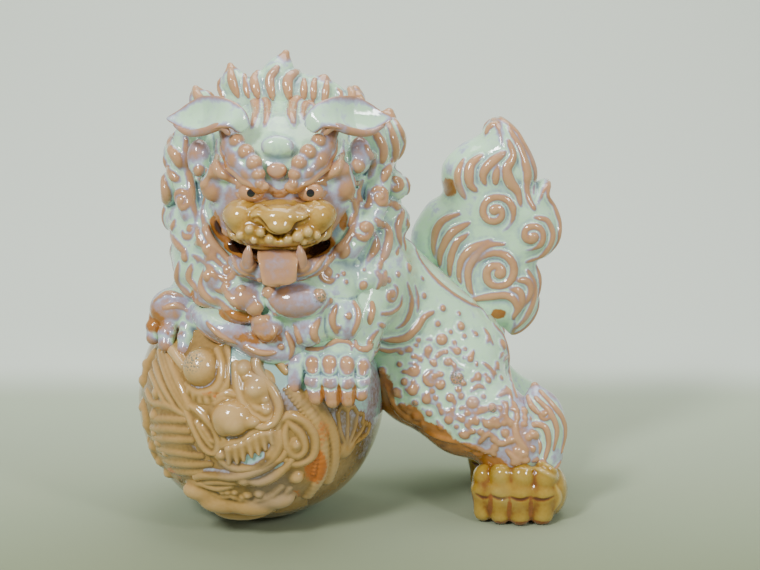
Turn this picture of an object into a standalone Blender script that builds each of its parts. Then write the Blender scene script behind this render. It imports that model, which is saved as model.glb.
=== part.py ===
"""A lion-dog statue with both front paws on a ball, in glazed stoneware.

The statue is slip cast in several moulds. The castings and the hand-pressed sprigs are luted
together while leather hard, then glazed and fired. Each casting or sprig is one object here.
Lengths are written in millimetres and multiplied by MM. X runs to the lion's tail, -Y is the
side on show, Z is up. The model is moved at the end so that its box stands centred on the origin.
"""

import math

import bmesh
import bpy
from mathutils import Euler, Matrix, Vector

MM = 0.001
LUTE_GAP = 0.34 * MM  # free space left where one piece sits on another

BALL_CENTRE = Vector((-72, 0, 94))
BALL_RADIUS = 97
WALL = 7  # thickness of the cast wall
VENT_RADIUS = 7  # holes that let air out in the kiln

FACE_X = -50  # the plane through the nose, the tongue and the middle of the brow
BODY_Y = 30  # the plane through the spine at the hips

GLAZES = {
    "mint_glaze": ((0.62, 0.80, 0.73), 0.14),
    "ochre_glaze": ((0.55, 0.40, 0.18), 0.2),
    "amber_glaze": ((0.58, 0.32, 0.12), 0.22),
    "ball_glaze": ((0.60, 0.40, 0.22), 0.2),
    "eye_enamel": ((0.75, 0.50, 0.36), 0.1),
}

skins = []  # a swollen copy of each finished piece, which cuts the pieces that come after it


# ---------- small tools ----------


def clear_scene():
    for obj in list(bpy.data.objects):
        bpy.data.objects.remove(obj, do_unlink=True)


def glaze(node, kind):
    """The node's own material, with the colour and gloss of its kind of glaze."""
    colour, roughness = GLAZES[kind]
    made = bpy.data.materials.new(f"{node}_{kind}")
    made.use_nodes = True
    shader = made.node_tree.nodes["Principled BSDF"]
    shader.inputs["Base Color"].default_value = (*colour, 1)
    shader.inputs["Roughness"].default_value = roughness
    shader.inputs["Metallic"].default_value = 0
    return made


def mirrored(points, plane_x=FACE_X):
    """The same points on the other side of the face."""
    return [(2 * plane_x - x, y, z) for x, y, z in points]


def ellipsoid(centre, radii, turn=(0, 0, 0)):
    """A mass for blob(): centre and radii in mm, turn in degrees."""
    return ("ellipsoid", Vector(centre), Vector(radii), turn)


def limb(start, start_radius, end, end_radius):
    """A tapered mass with round ends for blob()."""
    return ("limb", Vector(start), start_radius, Vector(end), end_radius)


def add_mass(bm, mass):
    if mass[0] == "ellipsoid":
        _, centre, radii, turn = mass
        rotation = Euler([math.radians(a) for a in turn]).to_matrix().to_4x4()
        place = Matrix.Translation(centre * MM) @ rotation @ Matrix.Diagonal((*(radii * MM), 1))
        bmesh.ops.create_icosphere(bm, subdivisions=4, radius=1, matrix=place)
        return
    _, start, start_radius, end, end_radius = mass
    along = end - start
    place = Matrix.Translation((start + end) / 2 * MM) @ along.to_track_quat("Z", "Y").to_matrix().to_4x4()
    bmesh.ops.create_cone(
        bm,
        cap_ends=True,
        segments=32,
        radius1=start_radius * MM,
        radius2=end_radius * MM,
        depth=along.length * MM,
        matrix=place,
    )
    for centre, radius in ((start, start_radius), (end, end_radius)):
        bmesh.ops.create_icosphere(
            bm, subdivisions=3, radius=radius * MM, matrix=Matrix.Translation(centre * MM)
        )


def new_object(name, bm, glaze_name):
    mesh = bpy.data.meshes.new(name)
    bm.to_mesh(mesh)
    bm.free()
    obj = bpy.data.objects.new(name, mesh)
    bpy.context.collection.objects.link(obj)
    if glaze_name:
        mesh.materials.append(glaze(name, glaze_name))
    return obj


def bake_modifiers(obj):
    """Replaces the object's mesh by what its modifiers make of it."""
    bpy.context.view_layer.update()
    evaluated = obj.evaluated_get(bpy.context.evaluated_depsgraph_get())
    made = bpy.data.meshes.new_from_object(evaluated)
    obj.modifiers.clear()
    obj.data = made


def triangle_count(obj):
    bpy.context.view_layer.update()
    mesh = obj.evaluated_get(bpy.context.evaluated_depsgraph_get()).data
    mesh.calc_loop_triangles()
    return len(mesh.loop_triangles)


def keep_largest_body(obj):
    """Drops the crumbs that a cut can leave beside the piece."""
    bm = bmesh.new()
    bm.from_mesh(obj.data)
    bmesh.ops.remove_doubles(bm, verts=bm.verts, dist=0.01 * MM)
    left = set(bm.verts)
    bodies = []
    while left:
        body, edge = set(), [left.pop()]
        while edge:
            vert = edge.pop()
            body.add(vert)
            for link in vert.link_edges:
                other = link.other_vert(vert)
                if other in left:
                    left.remove(other)
                    edge.append(other)
        bodies.append(body)
    bodies.sort(key=len)
    for body in bodies[:-1]:
        bmesh.ops.delete(bm, geom=list(body), context="VERTS")
    bm.to_mesh(obj.data)
    bm.free()


def boolean(obj, other, operation="DIFFERENCE"):
    modifier = obj.modifiers.new(operation.lower(), "BOOLEAN")
    modifier.operation = operation
    modifier.object = other


def as_helper(obj):
    obj.hide_render = True
    obj.display_type = "WIRE"


def box_of(obj):
    points = [obj.matrix_world @ vertex.co for vertex in obj.data.vertices]
    low = Vector(min(p[i] for p in points) for i in range(3))
    high = Vector(max(p[i] for p in points) for i in range(3))
    return low, high


def boxes_meet(a, b):
    return all(a[0][i] <= b[1][i] and b[0][i] <= a[1][i] for i in range(3))


def round_masses(name, masses, voxel, triangles, glaze_name, smoothing=6):
    """Fuses overlapping masses into one skin, smooths it and thins it to a number of triangles."""
    bm = bmesh.new()
    for mass in masses:
        add_mass(bm, mass)
    obj = new_object(name, bm, glaze_name)
    remesh = obj.modifiers.new("fuse", "REMESH")
    remesh.mode = "VOXEL"
    remesh.voxel_size = voxel * MM
    smooth = obj.modifiers.new("soften", "SMOOTH")
    smooth.factor = 0.5
    smooth.iterations = smoothing
    thin = obj.modifiers.new("thin", "DECIMATE")
    thin.ratio = min(1.0, triangles / max(1, triangle_count(obj)))
    bake_modifiers(obj)
    return obj


def sweep(name, path, widths, heights, glaze_name, sides=8, stations=7, up=(0, -1, 0)):
    """Carries an oval along a smooth path. widths and heights are its half sizes at the path's points."""
    points = [Vector(p) for p in path]
    up = Vector(up)
    last = len(points) - 1
    rings = []
    bm = bmesh.new()
    for station in range(stations):
        t = station / (stations - 1) * last
        centre, along = curve_at(points, t)
        side = along.cross(up).normalized()
        over = side.cross(along).normalized()
        half_width, half_height = between(widths, t), between(heights, t)
        ring = []
        for corner in range(sides):
            angle = 2 * math.pi * corner / sides
            offset = side * half_width * math.cos(angle) + over * half_height * math.sin(angle)
            ring.append(bm.verts.new((centre + offset) * MM))
        rings.append(ring)
    for low, high in zip(rings, rings[1:]):
        for corner in range(sides):
            after = (corner + 1) % sides
            bm.faces.new((low[corner], low[after], high[after], high[corner]))
    for ring, end, sign in ((rings[0], 0, -1), (rings[-1], last, 1)):
        centre, along = curve_at(points, end)
        reach = 0.5 * min(between(widths, end), between(heights, end))
        pole = bm.verts.new((centre + along * sign * reach) * MM)
        for corner in range(sides):
            bm.faces.new((ring[corner], ring[(corner + 1) % sides], pole))
    bmesh.ops.recalc_face_normals(bm, faces=bm.faces)
    return new_object(name, bm, glaze_name)


def curve_at(points, t):
    """Point and direction on the Catmull-Rom curve through the points, at t from 0 to the last index."""
    first = min(int(t), len(points) - 2)
    a, b = points[first], points[first + 1]
    before = points[first - 1] if first else a * 2 - b
    after = points[first + 2] if first + 2 < len(points) else b * 2 - a
    u = t - first
    place = (
        2 * a + (b - before) * u + (2 * before - 5 * a + 4 * b - after) * u * u
        + (3 * a - before - 3 * b + after) * u**3
    ) / 2
    slope = (
        (b - before) + 2 * (2 * before - 5 * a + 4 * b - after) * u
        + 3 * (3 * a - before - 3 * b + after) * u * u
    ) / 2
    return place, slope.normalized()


def between(values, t):
    first = min(int(t), len(values) - 2)
    u = t - first
    return values[first] * (1 - u) + values[first + 1] * u


def swollen(obj):
    """A helper copy of a finished piece, larger all round by the luting gap."""
    copy = bpy.data.objects.new(obj.name + "_skin", obj.data.copy())
    bpy.context.collection.objects.link(copy)
    swell = copy.modifiers.new("swell", "DISPLACE")
    swell.strength = LUTE_GAP
    swell.mid_level = 0
    as_helper(copy)
    return copy


def finish(obj, cavity=None, extra_cuts=()):
    """Cuts a piece where it sits on the pieces before it, hollows it and records its skin."""
    outline = swollen(obj)
    own_box = box_of(obj)
    for skin in skins:
        if boxes_meet(own_box, box_of(skin)):
            boolean(obj, skin)
    bake_modifiers(obj)
    keep_largest_body(obj)
    for cutter in (*extra_cuts, cavity):
        if cutter:
            boolean(obj, cutter)
            as_helper(cutter)
    bake_modifiers(obj)
    keep_largest_body(obj)
    obj.data.shade_smooth()
    obj.data.set_sharp_from_angle(angle=math.radians(50))
    skins.append(outline)
    return obj


def shape_cutter(name, masses, voxel=5, triangles=130):
    return round_masses(name, masses, voxel, triangles, None, smoothing=3)


def floor_cutter():
    bm = bmesh.new()
    size = 900 * MM
    bmesh.ops.create_cube(bm, size=size, matrix=Matrix.Translation((0, 0, -size / 2)))
    obj = new_object("floor_cutter", bm, None)
    as_helper(obj)
    return obj


def vent_cutter(name, start, end, radius=VENT_RADIUS):
    bm = bmesh.new()
    start, end = Vector(start), Vector(end)
    turn = (end - start).to_track_quat("Z", "Y").to_matrix().to_4x4()
    place = Matrix.Translation((start + end) / 2 * MM) @ turn
    bmesh.ops.create_cone(
        bm,
        cap_ends=True,
        segments=10,
        radius1=radius * MM,
        radius2=radius * MM,
        depth=(end - start).length * MM,
        matrix=place,
    )
    return new_object(name, bm, None)


# ---------- the ball ----------


def make_ball(floor):
    """A hollow sphere with a flat foot and a vent hole in the middle of the foot."""
    bm = bmesh.new()
    place = Matrix.Translation(BALL_CENTRE * MM)
    bmesh.ops.create_uvsphere(bm, u_segments=28, v_segments=16, radius=BALL_RADIUS * MM, matrix=place)
    ball = new_object("ball", bm, "ball_glaze")
    bm = bmesh.new()
    bmesh.ops.create_uvsphere(bm, u_segments=14, v_segments=8, radius=(BALL_RADIUS - WALL) * MM, matrix=place)
    hollow = new_object("ball_hollow", bm, None)
    vent = vent_cutter("ball_vent", (-72, 0, -10), (-72, 0, 30))
    finish(ball, hollow, (floor, vent))


def on_ball(x, z, lift=0.0):
    """The point of the ball's front that lies at this x and z, lifted off its surface."""
    across = Vector((x, 0, z)) - Vector((BALL_CENTRE.x, 0, BALL_CENTRE.z))
    depth = math.sqrt(max(0.0, BALL_RADIUS**2 - across.length_squared))
    outward = Vector((across.x, -depth, across.z)) / BALL_RADIUS
    return BALL_CENTRE + outward * (BALL_RADIUS + lift)


def ball_blob(name, spots, triangles, voxel=2.2):
    """A sprig pressed on the ball: round spots given as x, z, half width and height over the surface."""
    masses = []
    for x, z, width, height in spots:
        centre = on_ball(x, z)
        outward = (centre - BALL_CENTRE).normalized()
        turn = [math.degrees(a) for a in outward.to_track_quat("Z", "Y").to_euler()]
        masses.append(ellipsoid(centre, (width, width, height), turn))
    obj = round_masses(name, masses, voxel, triangles, "ball_glaze", smoothing=2)
    return finish(obj)


def ball_strand(name, spots, widths, height=4.0, stations=7):
    """A coil of clay that follows the ball's front through points given as x, z."""
    path = [on_ball(x, z, 0.6) for x, z in spots]
    middle = path[len(path) // 2]
    heights = [min(height, width * 1.4) for width in widths]
    return finish(
        sweep(name, path, widths, heights, "ball_glaze", 6, stations, middle - BALL_CENTRE)
    )


def make_ball_relief():
    """The dragon's mask on the ball: eyes, snout, jaw, whisker, horn, ear, mane and flames."""
    ball_blob("dragon_snout", [(-93, 84, 17, 8), (-84, 76, 14, 7), (-100, 96, 12, 6)], 100)
    ball_blob("dragon_pearl_eye", [(-116, 108, 15, 11)], 80)
    ball_blob("dragon_eye", [(-72, 103, 9, 7), (-66, 93, 9, 6), (-78, 114, 7, 6)], 80)
    ball_blob("dragon_jaw", [(-100, 62, 10, 5), (-86, 60, 11, 6), (-74, 66, 10, 5)], 90)
    ball_blob("dragon_ear", [(-59, 64, 12, 6), (-58, 54, 11, 6), (-62, 75, 8, 4)], 90)
    ball_blob("dragon_mane", [(-146, 108, 12, 5), (-152, 92, 10, 4), (-140, 124, 11, 4)], 90)
    ball_strand(
        "dragon_whisker",
        [(-79, 82), (-66, 78), (-57, 88), (-63, 104), (-71, 118), (-62, 126), (-53, 117)],
        [3.2, 3.6, 3.4, 3.2, 3.0, 2.6, 1.6],
        4.0,
        13,
    )
    ball_strand("dragon_horn", [(-101, 100), (-98, 118), (-106, 134), (-114, 144)], [6, 5.5, 4, 2.5], 6.0)
    ball_strand("dragon_chin_roll", [(-120, 46), (-98, 44), (-80, 50), (-66, 46)], [3.5, 4.5, 4, 3], 4.0)
    ball_strand("flame_roll", [(-116, 32), (-96, 26), (-72, 30), (-52, 42)], [4, 6, 5.5, 4], 5.0)
    ball_strand("cloud_band_inner", [(-46, 104), (-32, 88), (-28, 66), (-36, 44)], [3, 4, 4, 3], 3.0)
    ball_strand("cloud_band_outer", [(-30, 106), (-18, 90), (-14, 70), (-22, 46)], [2.5, 3.5, 3.5, 2.5], 3.0)


# ---------- the body ----------


def make_torso():
    chest = ellipsoid((-44, 8, 208), (58, 46, 48))
    shoulder = ellipsoid((2, -6, 188), (44, 46, 44))
    barrel = limb((4, 10, 186), 49, (80, 28, 120), 45)
    torso = round_masses("torso", [chest, shoulder, barrel], 4.0, 560, "mint_glaze")
    hollow = shape_cutter(
        "torso_hollow",
        [limb((-44, 8, 212), 34, (4, 6, 186), 36), limb((4, 10, 186), 39, (76, 28, 124), 33),
         limb((-44, 4, 212), 26, (-48, -4, 246), 24)],
    )
    vent = vent_cutter("torso_vent", (42, 24, 140), (34, 24, 80))
    finish(torso, hollow, (vent,))


def hind_leg_masses(y, x=0.0):
    """Thigh, knee and ankle of one hind leg; y is the sideways place of the ankle."""
    hip_y = BODY_Y + (y - BODY_Y) * 0.8
    return [
        ellipsoid((66 + x, hip_y, 108), (52, 34, 43)),
        ellipsoid((95 + x, y, 80), (42, 32, 34)),
        ellipsoid((132 + x, y, 56), (33, 30, 34)),
    ]


def make_hind_leg(side, y, x=0.0):
    leg = round_masses("hind_leg_" + side, hind_leg_masses(y, x), 3.4, 340, "mint_glaze")
    hollow = shape_cutter(
        "hind_leg_hollow_" + side,
        [limb((58 + x, BODY_Y + (y - BODY_Y) * 0.5, 120), 22, (96 + x, y, 84), 21),
         limb((96 + x, y, 84), 21, (130 + x, y, 44), 16)],
        5, 90,
    )
    finish(leg, hollow)


def make_hind_paw(side, centre, floor):
    """A clenched paw: a rounded block with four toes over its front edge."""
    x, y = centre
    masses = [ellipsoid((x, y + 4, 22), (37, 34, 25)), ellipsoid((x, y + 2, 8), (34, 33, 16))]
    for toe in range(4):
        across = (toe - 1.5) * 17.5
        masses.append(limb((x + across, y - 20, 30), 10, (x + across * 0.95, y - 27, 7), 9))
    paw = round_masses("hind_paw_" + side, masses, 2.6, 400, "amber_glaze", smoothing=3)
    finish(paw, None, (floor,))


def make_leg_flame(side, y, x=0.0):
    """The tuft of hair behind the hock."""
    path = [(150 + x, y + 14, 40), (160 + x, y + 16, 60), (157 + x, y + 16, 80), (148 + x, y + 14, 96)]
    finish(sweep("hock_tuft_" + side, path, [9, 11, 8, 3], [14, 16, 11, 4], "mint_glaze", up=(0, -1, 0)))


def make_front_legs():
    near = round_masses(
        "front_leg_left",
        [limb((10, -26, 196), 33, (-3, -58, 152), 27), ellipsoid((-6, -66, 150), (27, 22, 20))],
        3.4, 200, "mint_glaze",
    )
    finish(near)
    far = round_masses(
        "front_leg_right", [limb((-96, 0, 202), 30, (-122, -20, 172), 22)], 3.4, 150, "mint_glaze"
    )
    finish(far)


def make_front_paw(side, palm, toes, triangles):
    """A paw that grips the ball: a palm with toes, each a tapered limb that ends in a claw."""
    masses = [palm] + [limb(*toe) for toe in toes]
    paw = round_masses("front_paw_" + side, masses, 2.4, triangles, "mint_glaze", smoothing=3)
    finish(paw)


# ---------- the head ----------


def make_head():
    """The hollow head casting: skull, mane and beard, with the mouth cut open."""
    masses = [
        ellipsoid((-52, 2, 256), (80, 56, 78)),
        ellipsoid((FACE_X, -42, 262), (58, 48, 62)),
        ellipsoid((FACE_X, -46, 196), (66, 42, 38)),
        ellipsoid((10, -16, 198), (28, 36, 46)),
        ellipsoid((-106, -24, 212), (29, 36, 34)),
        ellipsoid((-26, -68, 176), (26, 24, 24)),
    ]
    head = round_masses("head", masses, 4.0, 760, "mint_glaze")
    mouth = shape_cutter(
        "mouth_cutter",
        [ellipsoid((FACE_X, -84, 238), (42, 34, 17)), ellipsoid((FACE_X, -92, 226), (32, 30, 14)),
         limb((-90, -76, 248), 8, (-76, -92, 236), 10), limb((-10, -76, 248), 8, (-24, -92, 236), 10)],
        3, 150,
    )
    hollow = shape_cutter(
        "head_hollow",
        [ellipsoid((-52, 6, 264), (68, 40, 60)), ellipsoid((FACE_X, -26, 272), (44, 40, 42)),
         limb((-50, 6, 246), 30, (-46, 0, 200), 24)],
    )
    finish(head, hollow, (mouth,))


def make_face():
    muzzle = round_masses(
        "muzzle",
        [ellipsoid((FACE_X, -86, 250), (44, 24, 15)), ellipsoid((FACE_X, -102, 256), (17, 12, 9)),
         ellipsoid((FACE_X - 26, -90, 247), (18, 20, 13)), ellipsoid((FACE_X + 26, -90, 247), (18, 20, 13)),
         ellipsoid((FACE_X, -96, 243), (26, 14, 10))],
        2.4, 260, "ochre_glaze", smoothing=3,
    )
    finish(muzzle)
    jaw = round_masses(
        "lower_jaw",
        [ellipsoid((FACE_X, -78, 214), (33, 22, 9)), ellipsoid((FACE_X - 22, -90, 217), (13, 11, 8)),
         ellipsoid((FACE_X + 22, -90, 217), (13, 11, 8))],
        2.2, 150, "mint_glaze", smoothing=3,
    )
    finish(jaw)
    tongue_path = [(FACE_X, -78, 226), (FACE_X, -96, 227), (FACE_X + 1, -108, 221), (FACE_X + 1, -109, 208)]
    finish(sweep("tongue", tongue_path, [12, 14, 14, 12], [4, 4, 4, 3], "mint_glaze", 8, 6, up=(0, 0, 1)))
    for side, mirror in (("right", False), ("left", True)):
        place = mirrored if mirror else list
        fang = place([(FACE_X - 22, -99, 219), (FACE_X - 22, -101, 228), (FACE_X - 21, -101, 238)])
        finish(sweep("fang_" + side, fang, [4.6, 4.2, 1.2], [4.6, 4.2, 1.2], "mint_glaze", 6, 5))
        eye = place([(FACE_X - 21, -86, 269)])[0]
        ball = round_masses("eye_" + side, [ellipsoid(eye, (10, 9, 8))], 1.6, 80, "eye_enamel", smoothing=1)
        finish(ball)
        brow = place([(-84, -72, 314), (-83, -84, 301), (-75, -91, 291), (-61, -96, 284), (-52, -99, 281)])
        finish(sweep("brow_" + side, brow, [8, 9.5, 9, 7, 4], [7, 8, 8, 7, 5], "mint_glaze", 8, 8))
        temple = place([(-94, -58, 300), (-97, -62, 290), (-95, -64, 280)])
        finish(sweep("temple_lobe_" + side, temple, [7, 11, 7], [6, 9, 6], "mint_glaze", 8, 5))
        cheek = place([(-88, -76, 276), (-93, -74, 266), (-94, -68, 254)])
        finish(sweep("cheek_" + side, cheek, [9, 12, 8], [8, 10, 7], "mint_glaze", 8, 5))
        ear = place([(-68, -66, 318), (-84, -70, 325), (-108, -66, 322), (-132, -58, 315)])
        finish(sweep("ear_" + side, ear, [9, 15, 16, 3.5], [7, 7, 5, 3], "mint_glaze", 8, 7, up=(0, -1, 0.5)))


def make_mane():
    """The pointed locks of the crest, and the locks and curls that stand out at the sides."""
    crest = {
        "crest_lock_centre": [(-50, 6, 316), (-52, 6, 340), (-48, 0, 364)],
        "crest_lock_right": [(-84, 6, 306), (-88, 4, 332), (-91, 0, 350)],
        "crest_lock_left": [(-22, 6, 308), (-24, 4, 330), (-21, 0, 344)],
        "crest_lock_right_low": [(-108, 8, 296), (-115, 6, 318), (-118, 5, 335)],
        "crest_lock_left_low": [(2, 8, 298), (2, 6, 320), (1, 5, 335)],
        "crest_lock_left_side": [(16, 6, 274), (26, 5, 296), (30, 4, 315)],
    }
    for number, (name, path) in enumerate(crest.items()):
        width = (21, 16, 14, 12, 12, 12)[number]
        finish(
            sweep(name, path, [width, width * 0.8, 2.5], [15, 11, 2.5], "mint_glaze", 8, 5)
        )
    side_locks = {
        "mane_lock_left_upper": [(25, -2, 298), (31, -6, 282), (28, -8, 264)],
        "mane_curl_left": [(31, -6, 262), (35, -10, 250), (30, -16, 240)],
        "mane_lock_left_lower": [(29, -4, 234), (33, -8, 214), (24, -14, 190)],
        "mane_lock_right_upper": [(-127, -6, 296), (-132, -10, 280), (-130, -14, 262)],
        "mane_curl_right": [(-130, -14, 256), (-135, -20, 244), (-131, -28, 230)],
        "mane_lock_right_lower": [(-131, -14, 226), (-136, -18, 210), (-128, -28, 192)],
    }
    for name, path in side_locks.items():
        finish(sweep(name, path, [6, 10, 5], [12, 18, 9], "mint_glaze", 8, 5))


def make_beard():
    """Round curls along the jaw, from the corner of the mouth down to the chin."""
    places = [(-98, -68, 236), (-84, -82, 216)]
    for side, points in (("right", places), ("left", mirrored(places))):
        for number, centre in enumerate(points, 1):
            name = f"beard_curl_{side}_{number}"
            mass = ellipsoid(centre, (11, 9, 10))
            curl = round_masses(name, [mass], 2.4, 60, "mint_glaze", smoothing=1)
            finish(curl)


# ---------- the tail ----------


def make_tail():
    """The upright flame tail and the two smaller flames beside it."""
    masses = [
        ellipsoid((108, 54, 196), (56, 27, 46)),
        ellipsoid((112, 56, 226), (50, 25, 42)),
        ellipsoid((108, 57, 252), (36, 22, 34)),
        limb((110, 57, 262), 24, (108, 58, 298), 6),
        limb((112, 50, 180), 34, (108, 44, 150), 24),
    ]
    finish(round_masses("tail", masses, 3.4, 460, "mint_glaze"))
    upper = [(146, 54, 206), (158, 56, 222), (160, 58, 238), (156, 60, 254)]
    finish(sweep("tail_flame_upper", upper, [16, 15, 8, 2.5], [17, 15, 8, 2.5], "mint_glaze", 8, 7))
    lower = [(146, 52, 184), (150, 54, 164), (143, 52, 144), (131, 48, 128)]
    finish(sweep("tail_flame_lower", lower, [15, 15, 9, 2.5], [17, 14, 9, 2.5], "mint_glaze", 8, 7))


# ---------- the whole statue ----------


def centre_model():
    """Drops the helpers and stands the finished model with the middle of its box over the origin."""
    for obj in list(bpy.data.objects):
        if obj.hide_render:
            bpy.data.objects.remove(obj, do_unlink=True)
    pieces = list(bpy.data.objects)
    boxes = [box_of(obj) for obj in pieces]
    low = Vector(min(box[0][i] for box in boxes) for i in range(3))
    high = Vector(max(box[1][i] for box in boxes) for i in range(3))
    shift = Vector((-(low.x + high.x) / 2, -(low.y + high.y) / 2, -low.z))
    for obj in pieces:
        obj.data.transform(Matrix.Translation(shift))


def main():
    clear_scene()
    floor = floor_cutter()
    make_ball(floor)
    make_torso()
    make_head()
    make_front_legs()
    make_front_paw(
        "left",
        ellipsoid((-14, -74, 134), (32, 20, 19)),
        [((-40, -82, 136), 9, (-38, -90, 118), 7), ((-22, -88, 134), 10, (-22, -97, 114), 7),
         ((-3, -84, 133), 10, (-3, -93, 112), 7), ((13, -74, 131), 9, (12, -84, 112), 6.5)],
        330,
    )
    make_front_paw(
        "right",
        ellipsoid((-128, -28, 166), (24, 24, 17)),
        [((-146, -34, 164), 9, (-150, -42, 152), 7), ((-134, -46, 164), 9, (-138, -56, 150), 7),
         ((-118, -50, 166), 9, (-121, -62, 154), 7)],
        260,
    )
    for side, y, x in (("left", -8, 0), ("right", 68, 2)):
        make_hind_leg(side, y, x)
        make_hind_paw(side, (132 + x, y - 4), floor)
        make_leg_flame(side, y, x)
    make_tail()
    make_face()
    make_mane()
    make_beard()
    make_ball_relief()
    centre_model()


main()
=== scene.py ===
# A glazed stoneware lion-dog with its front paws on a relief ball.
# Plan sizes are in millimetres, seen from the front: x to the right, y away from the viewer, z up.
import math

import bpy
import numpy as np
import openvdb
from mathutils import Euler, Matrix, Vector


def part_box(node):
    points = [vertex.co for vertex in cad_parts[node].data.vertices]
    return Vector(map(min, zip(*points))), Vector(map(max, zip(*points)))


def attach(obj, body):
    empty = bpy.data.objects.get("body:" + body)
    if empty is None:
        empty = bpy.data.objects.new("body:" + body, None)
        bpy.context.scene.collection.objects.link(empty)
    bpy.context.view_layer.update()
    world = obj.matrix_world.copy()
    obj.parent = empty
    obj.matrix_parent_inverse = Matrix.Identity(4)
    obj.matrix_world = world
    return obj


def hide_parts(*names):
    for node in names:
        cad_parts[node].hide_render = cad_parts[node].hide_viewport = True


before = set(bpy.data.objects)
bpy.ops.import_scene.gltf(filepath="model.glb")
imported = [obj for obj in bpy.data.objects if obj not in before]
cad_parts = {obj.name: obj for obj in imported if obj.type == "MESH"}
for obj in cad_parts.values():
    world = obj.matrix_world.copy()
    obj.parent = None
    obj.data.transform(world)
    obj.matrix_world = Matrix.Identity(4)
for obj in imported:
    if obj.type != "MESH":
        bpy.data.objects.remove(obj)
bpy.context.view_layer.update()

# where the plan lies in the frame
ballLow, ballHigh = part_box("ball")
ballRadius = (ballHigh.x - ballLow.x) * 500
ballCentre = np.array([-72.0, 0.0, ballHigh.z * 1000 - ballRadius])
planShift = np.array([(ballLow.x + ballHigh.x) * 500, (ballLow.y + ballHigh.y) * 500, 0])
planShift = planShift - ballCentre * (1, 1, 0)  # from plan to frame, in mm
faceX = -51  # the plane that halves the face


# clay: a block of numbers that holds the distance to the surface, below zero inside
def newClay(low, high, step):
    # an empty block between two corners, everywhere far from any surface
    low = np.array(low, float)
    count = np.ceil((np.array(high, float) - low) / step).astype(int) + 1
    return {"low": low, "step": step, "field": np.full(count, 30.0, np.float32)}


def windowOf(clay, low, high):
    # the part of the block between two corners, and its x, y and z along three open axes
    size, step = clay["field"].shape, clay["step"]
    first = [max(0, math.floor((low[i] - clay["low"][i]) / step)) for i in range(3)]
    last = [min(size[i], math.ceil((high[i] - clay["low"][i]) / step) + 1) for i in range(3)]
    if any(last[i] - first[i] < 2 for i in range(3)):
        return None, None
    x, y, z = (np.float32(clay["low"][i] + step * np.arange(first[i], last[i])) for i in range(3))
    window = tuple(slice(a, b) for a, b in zip(first, last))
    return window, (x[:, None, None], y[None, :, None], z[None, None, :])


def softMin(a, b, blend):
    # the lower of two distances, with a fillet as wide as blend where they meet
    near = np.maximum(blend - np.abs(a - b), 0) / blend
    return np.minimum(a, b) - near * near * blend * 0.25


def press(clay, window, distance, blend, carve=False):
    # joins a shape to the clay, or cuts it away
    old = clay["field"][window]
    clay["field"][window] = -softMin(-old, distance, blend) if carve else softMin(old, distance, blend)


def eggDistance(axes, centre, radii, turn=None):
    # k (k - 1) / g: k is the point's length counted in the egg's radii, g the slope of k
    x, y, z = (axes[i] - centre[i] for i in range(3))
    if turn is not None:
        m = np.array(Euler([math.radians(a) for a in turn]).to_matrix())
        x, y, z = (m[0, i] * x + m[1, i] * y + m[2, i] * z for i in range(3))
    a, b, c = x / radii[0], y / radii[1], z / radii[2]
    k = np.sqrt(a * a + b * b + c * c)
    g = np.sqrt((a / radii[0]) ** 2 + (b / radii[1]) ** 2 + (c / radii[2]) ** 2)
    return k * (k - 1) / np.maximum(g, 1e-4)


def limbDistance(axes, start, startRadius, end, endRadius):
    # distance to the nearest point of the line from start to end, less the radius there
    along = np.array(end, float) - start
    x, y, z = (axes[i] - start[i] for i in range(3))
    t = np.clip((x * along[0] + y * along[1] + z * along[2]) / (along @ along), 0, 1)
    reach = np.sqrt((x - t * along[0]) ** 2 + (y - t * along[1]) ** 2 + (z - t * along[2]) ** 2)
    return reach - (startRadius + (endRadius - startRadius) * t)


def addMass(clay, mass, blend, carve=False, everywhere=True):
    # a mass is ("egg", centre, radii[, turn]) or ("limb", start, radius, end, radius)
    if mass[0] == "egg":
        centre, radii = np.array(mass[1], float), np.array(mass[2], float)
        reach = radii.max() + blend + 3
        low, high = centre - reach, centre + reach
    else:
        ends = np.array([mass[1], mass[3]], float)
        reach = max(mass[2], mass[4]) + blend + 3
        low, high = ends.min(0) - reach, ends.max(0) + reach
    if everywhere:
        low, high = np.full(3, -1e6), np.full(3, 1e6)
    window, axes = windowOf(clay, low, high)
    if window is None:
        return
    if mass[0] == "egg":
        distance = eggDistance(axes, centre, radii, mass[3] if len(mass) > 3 else None)
    else:
        distance = limbDistance(axes, *mass[1:])
    press(clay, window, distance, blend, carve)


def clayOf(masses, blend, step, margin=9):
    # a block just large enough for the masses, with all of them joined
    lows, highs = [], []
    for mass in masses:
        if mass[0] == "egg":
            lows.append(np.array(mass[1], float) - np.max(mass[2]))
            highs.append(np.array(mass[1], float) + np.max(mass[2]))
        else:
            lows += [np.array(mass[1], float) - mass[2], np.array(mass[3], float) - mass[4]]
            highs += [np.array(mass[1], float) + mass[2], np.array(mass[3], float) + mass[4]]
    clay = newClay(np.min(lows, 0) - margin, np.max(highs, 0) + margin, step)
    for mass in masses:
        addMass(clay, mass, blend)
    return clay


def sample(clay, points):
    # distance at any points, from the eight numbers round each, or from a formula
    if callable(clay):
        return clay(points)
    field, size = clay["field"], np.array(clay["field"].shape)
    place = (points - clay["low"]) / clay["step"]
    held = np.clip(place, 0, size - 1.001)
    cell = held.astype(int)
    t = held - cell
    found = 0
    for i in (0, 1):
        for j in (0, 1):
            for k in (0, 1):
                share = (t[:, 0] if i else 1 - t[:, 0]) * (t[:, 1] if j else 1 - t[:, 1])
                share = share * (t[:, 2] if k else 1 - t[:, 2])
                found = found + share * field[cell[:, 0] + i, cell[:, 1] + j, cell[:, 2] + k]
    return found + np.linalg.norm(place - held, axis=1) * clay["step"]


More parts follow.
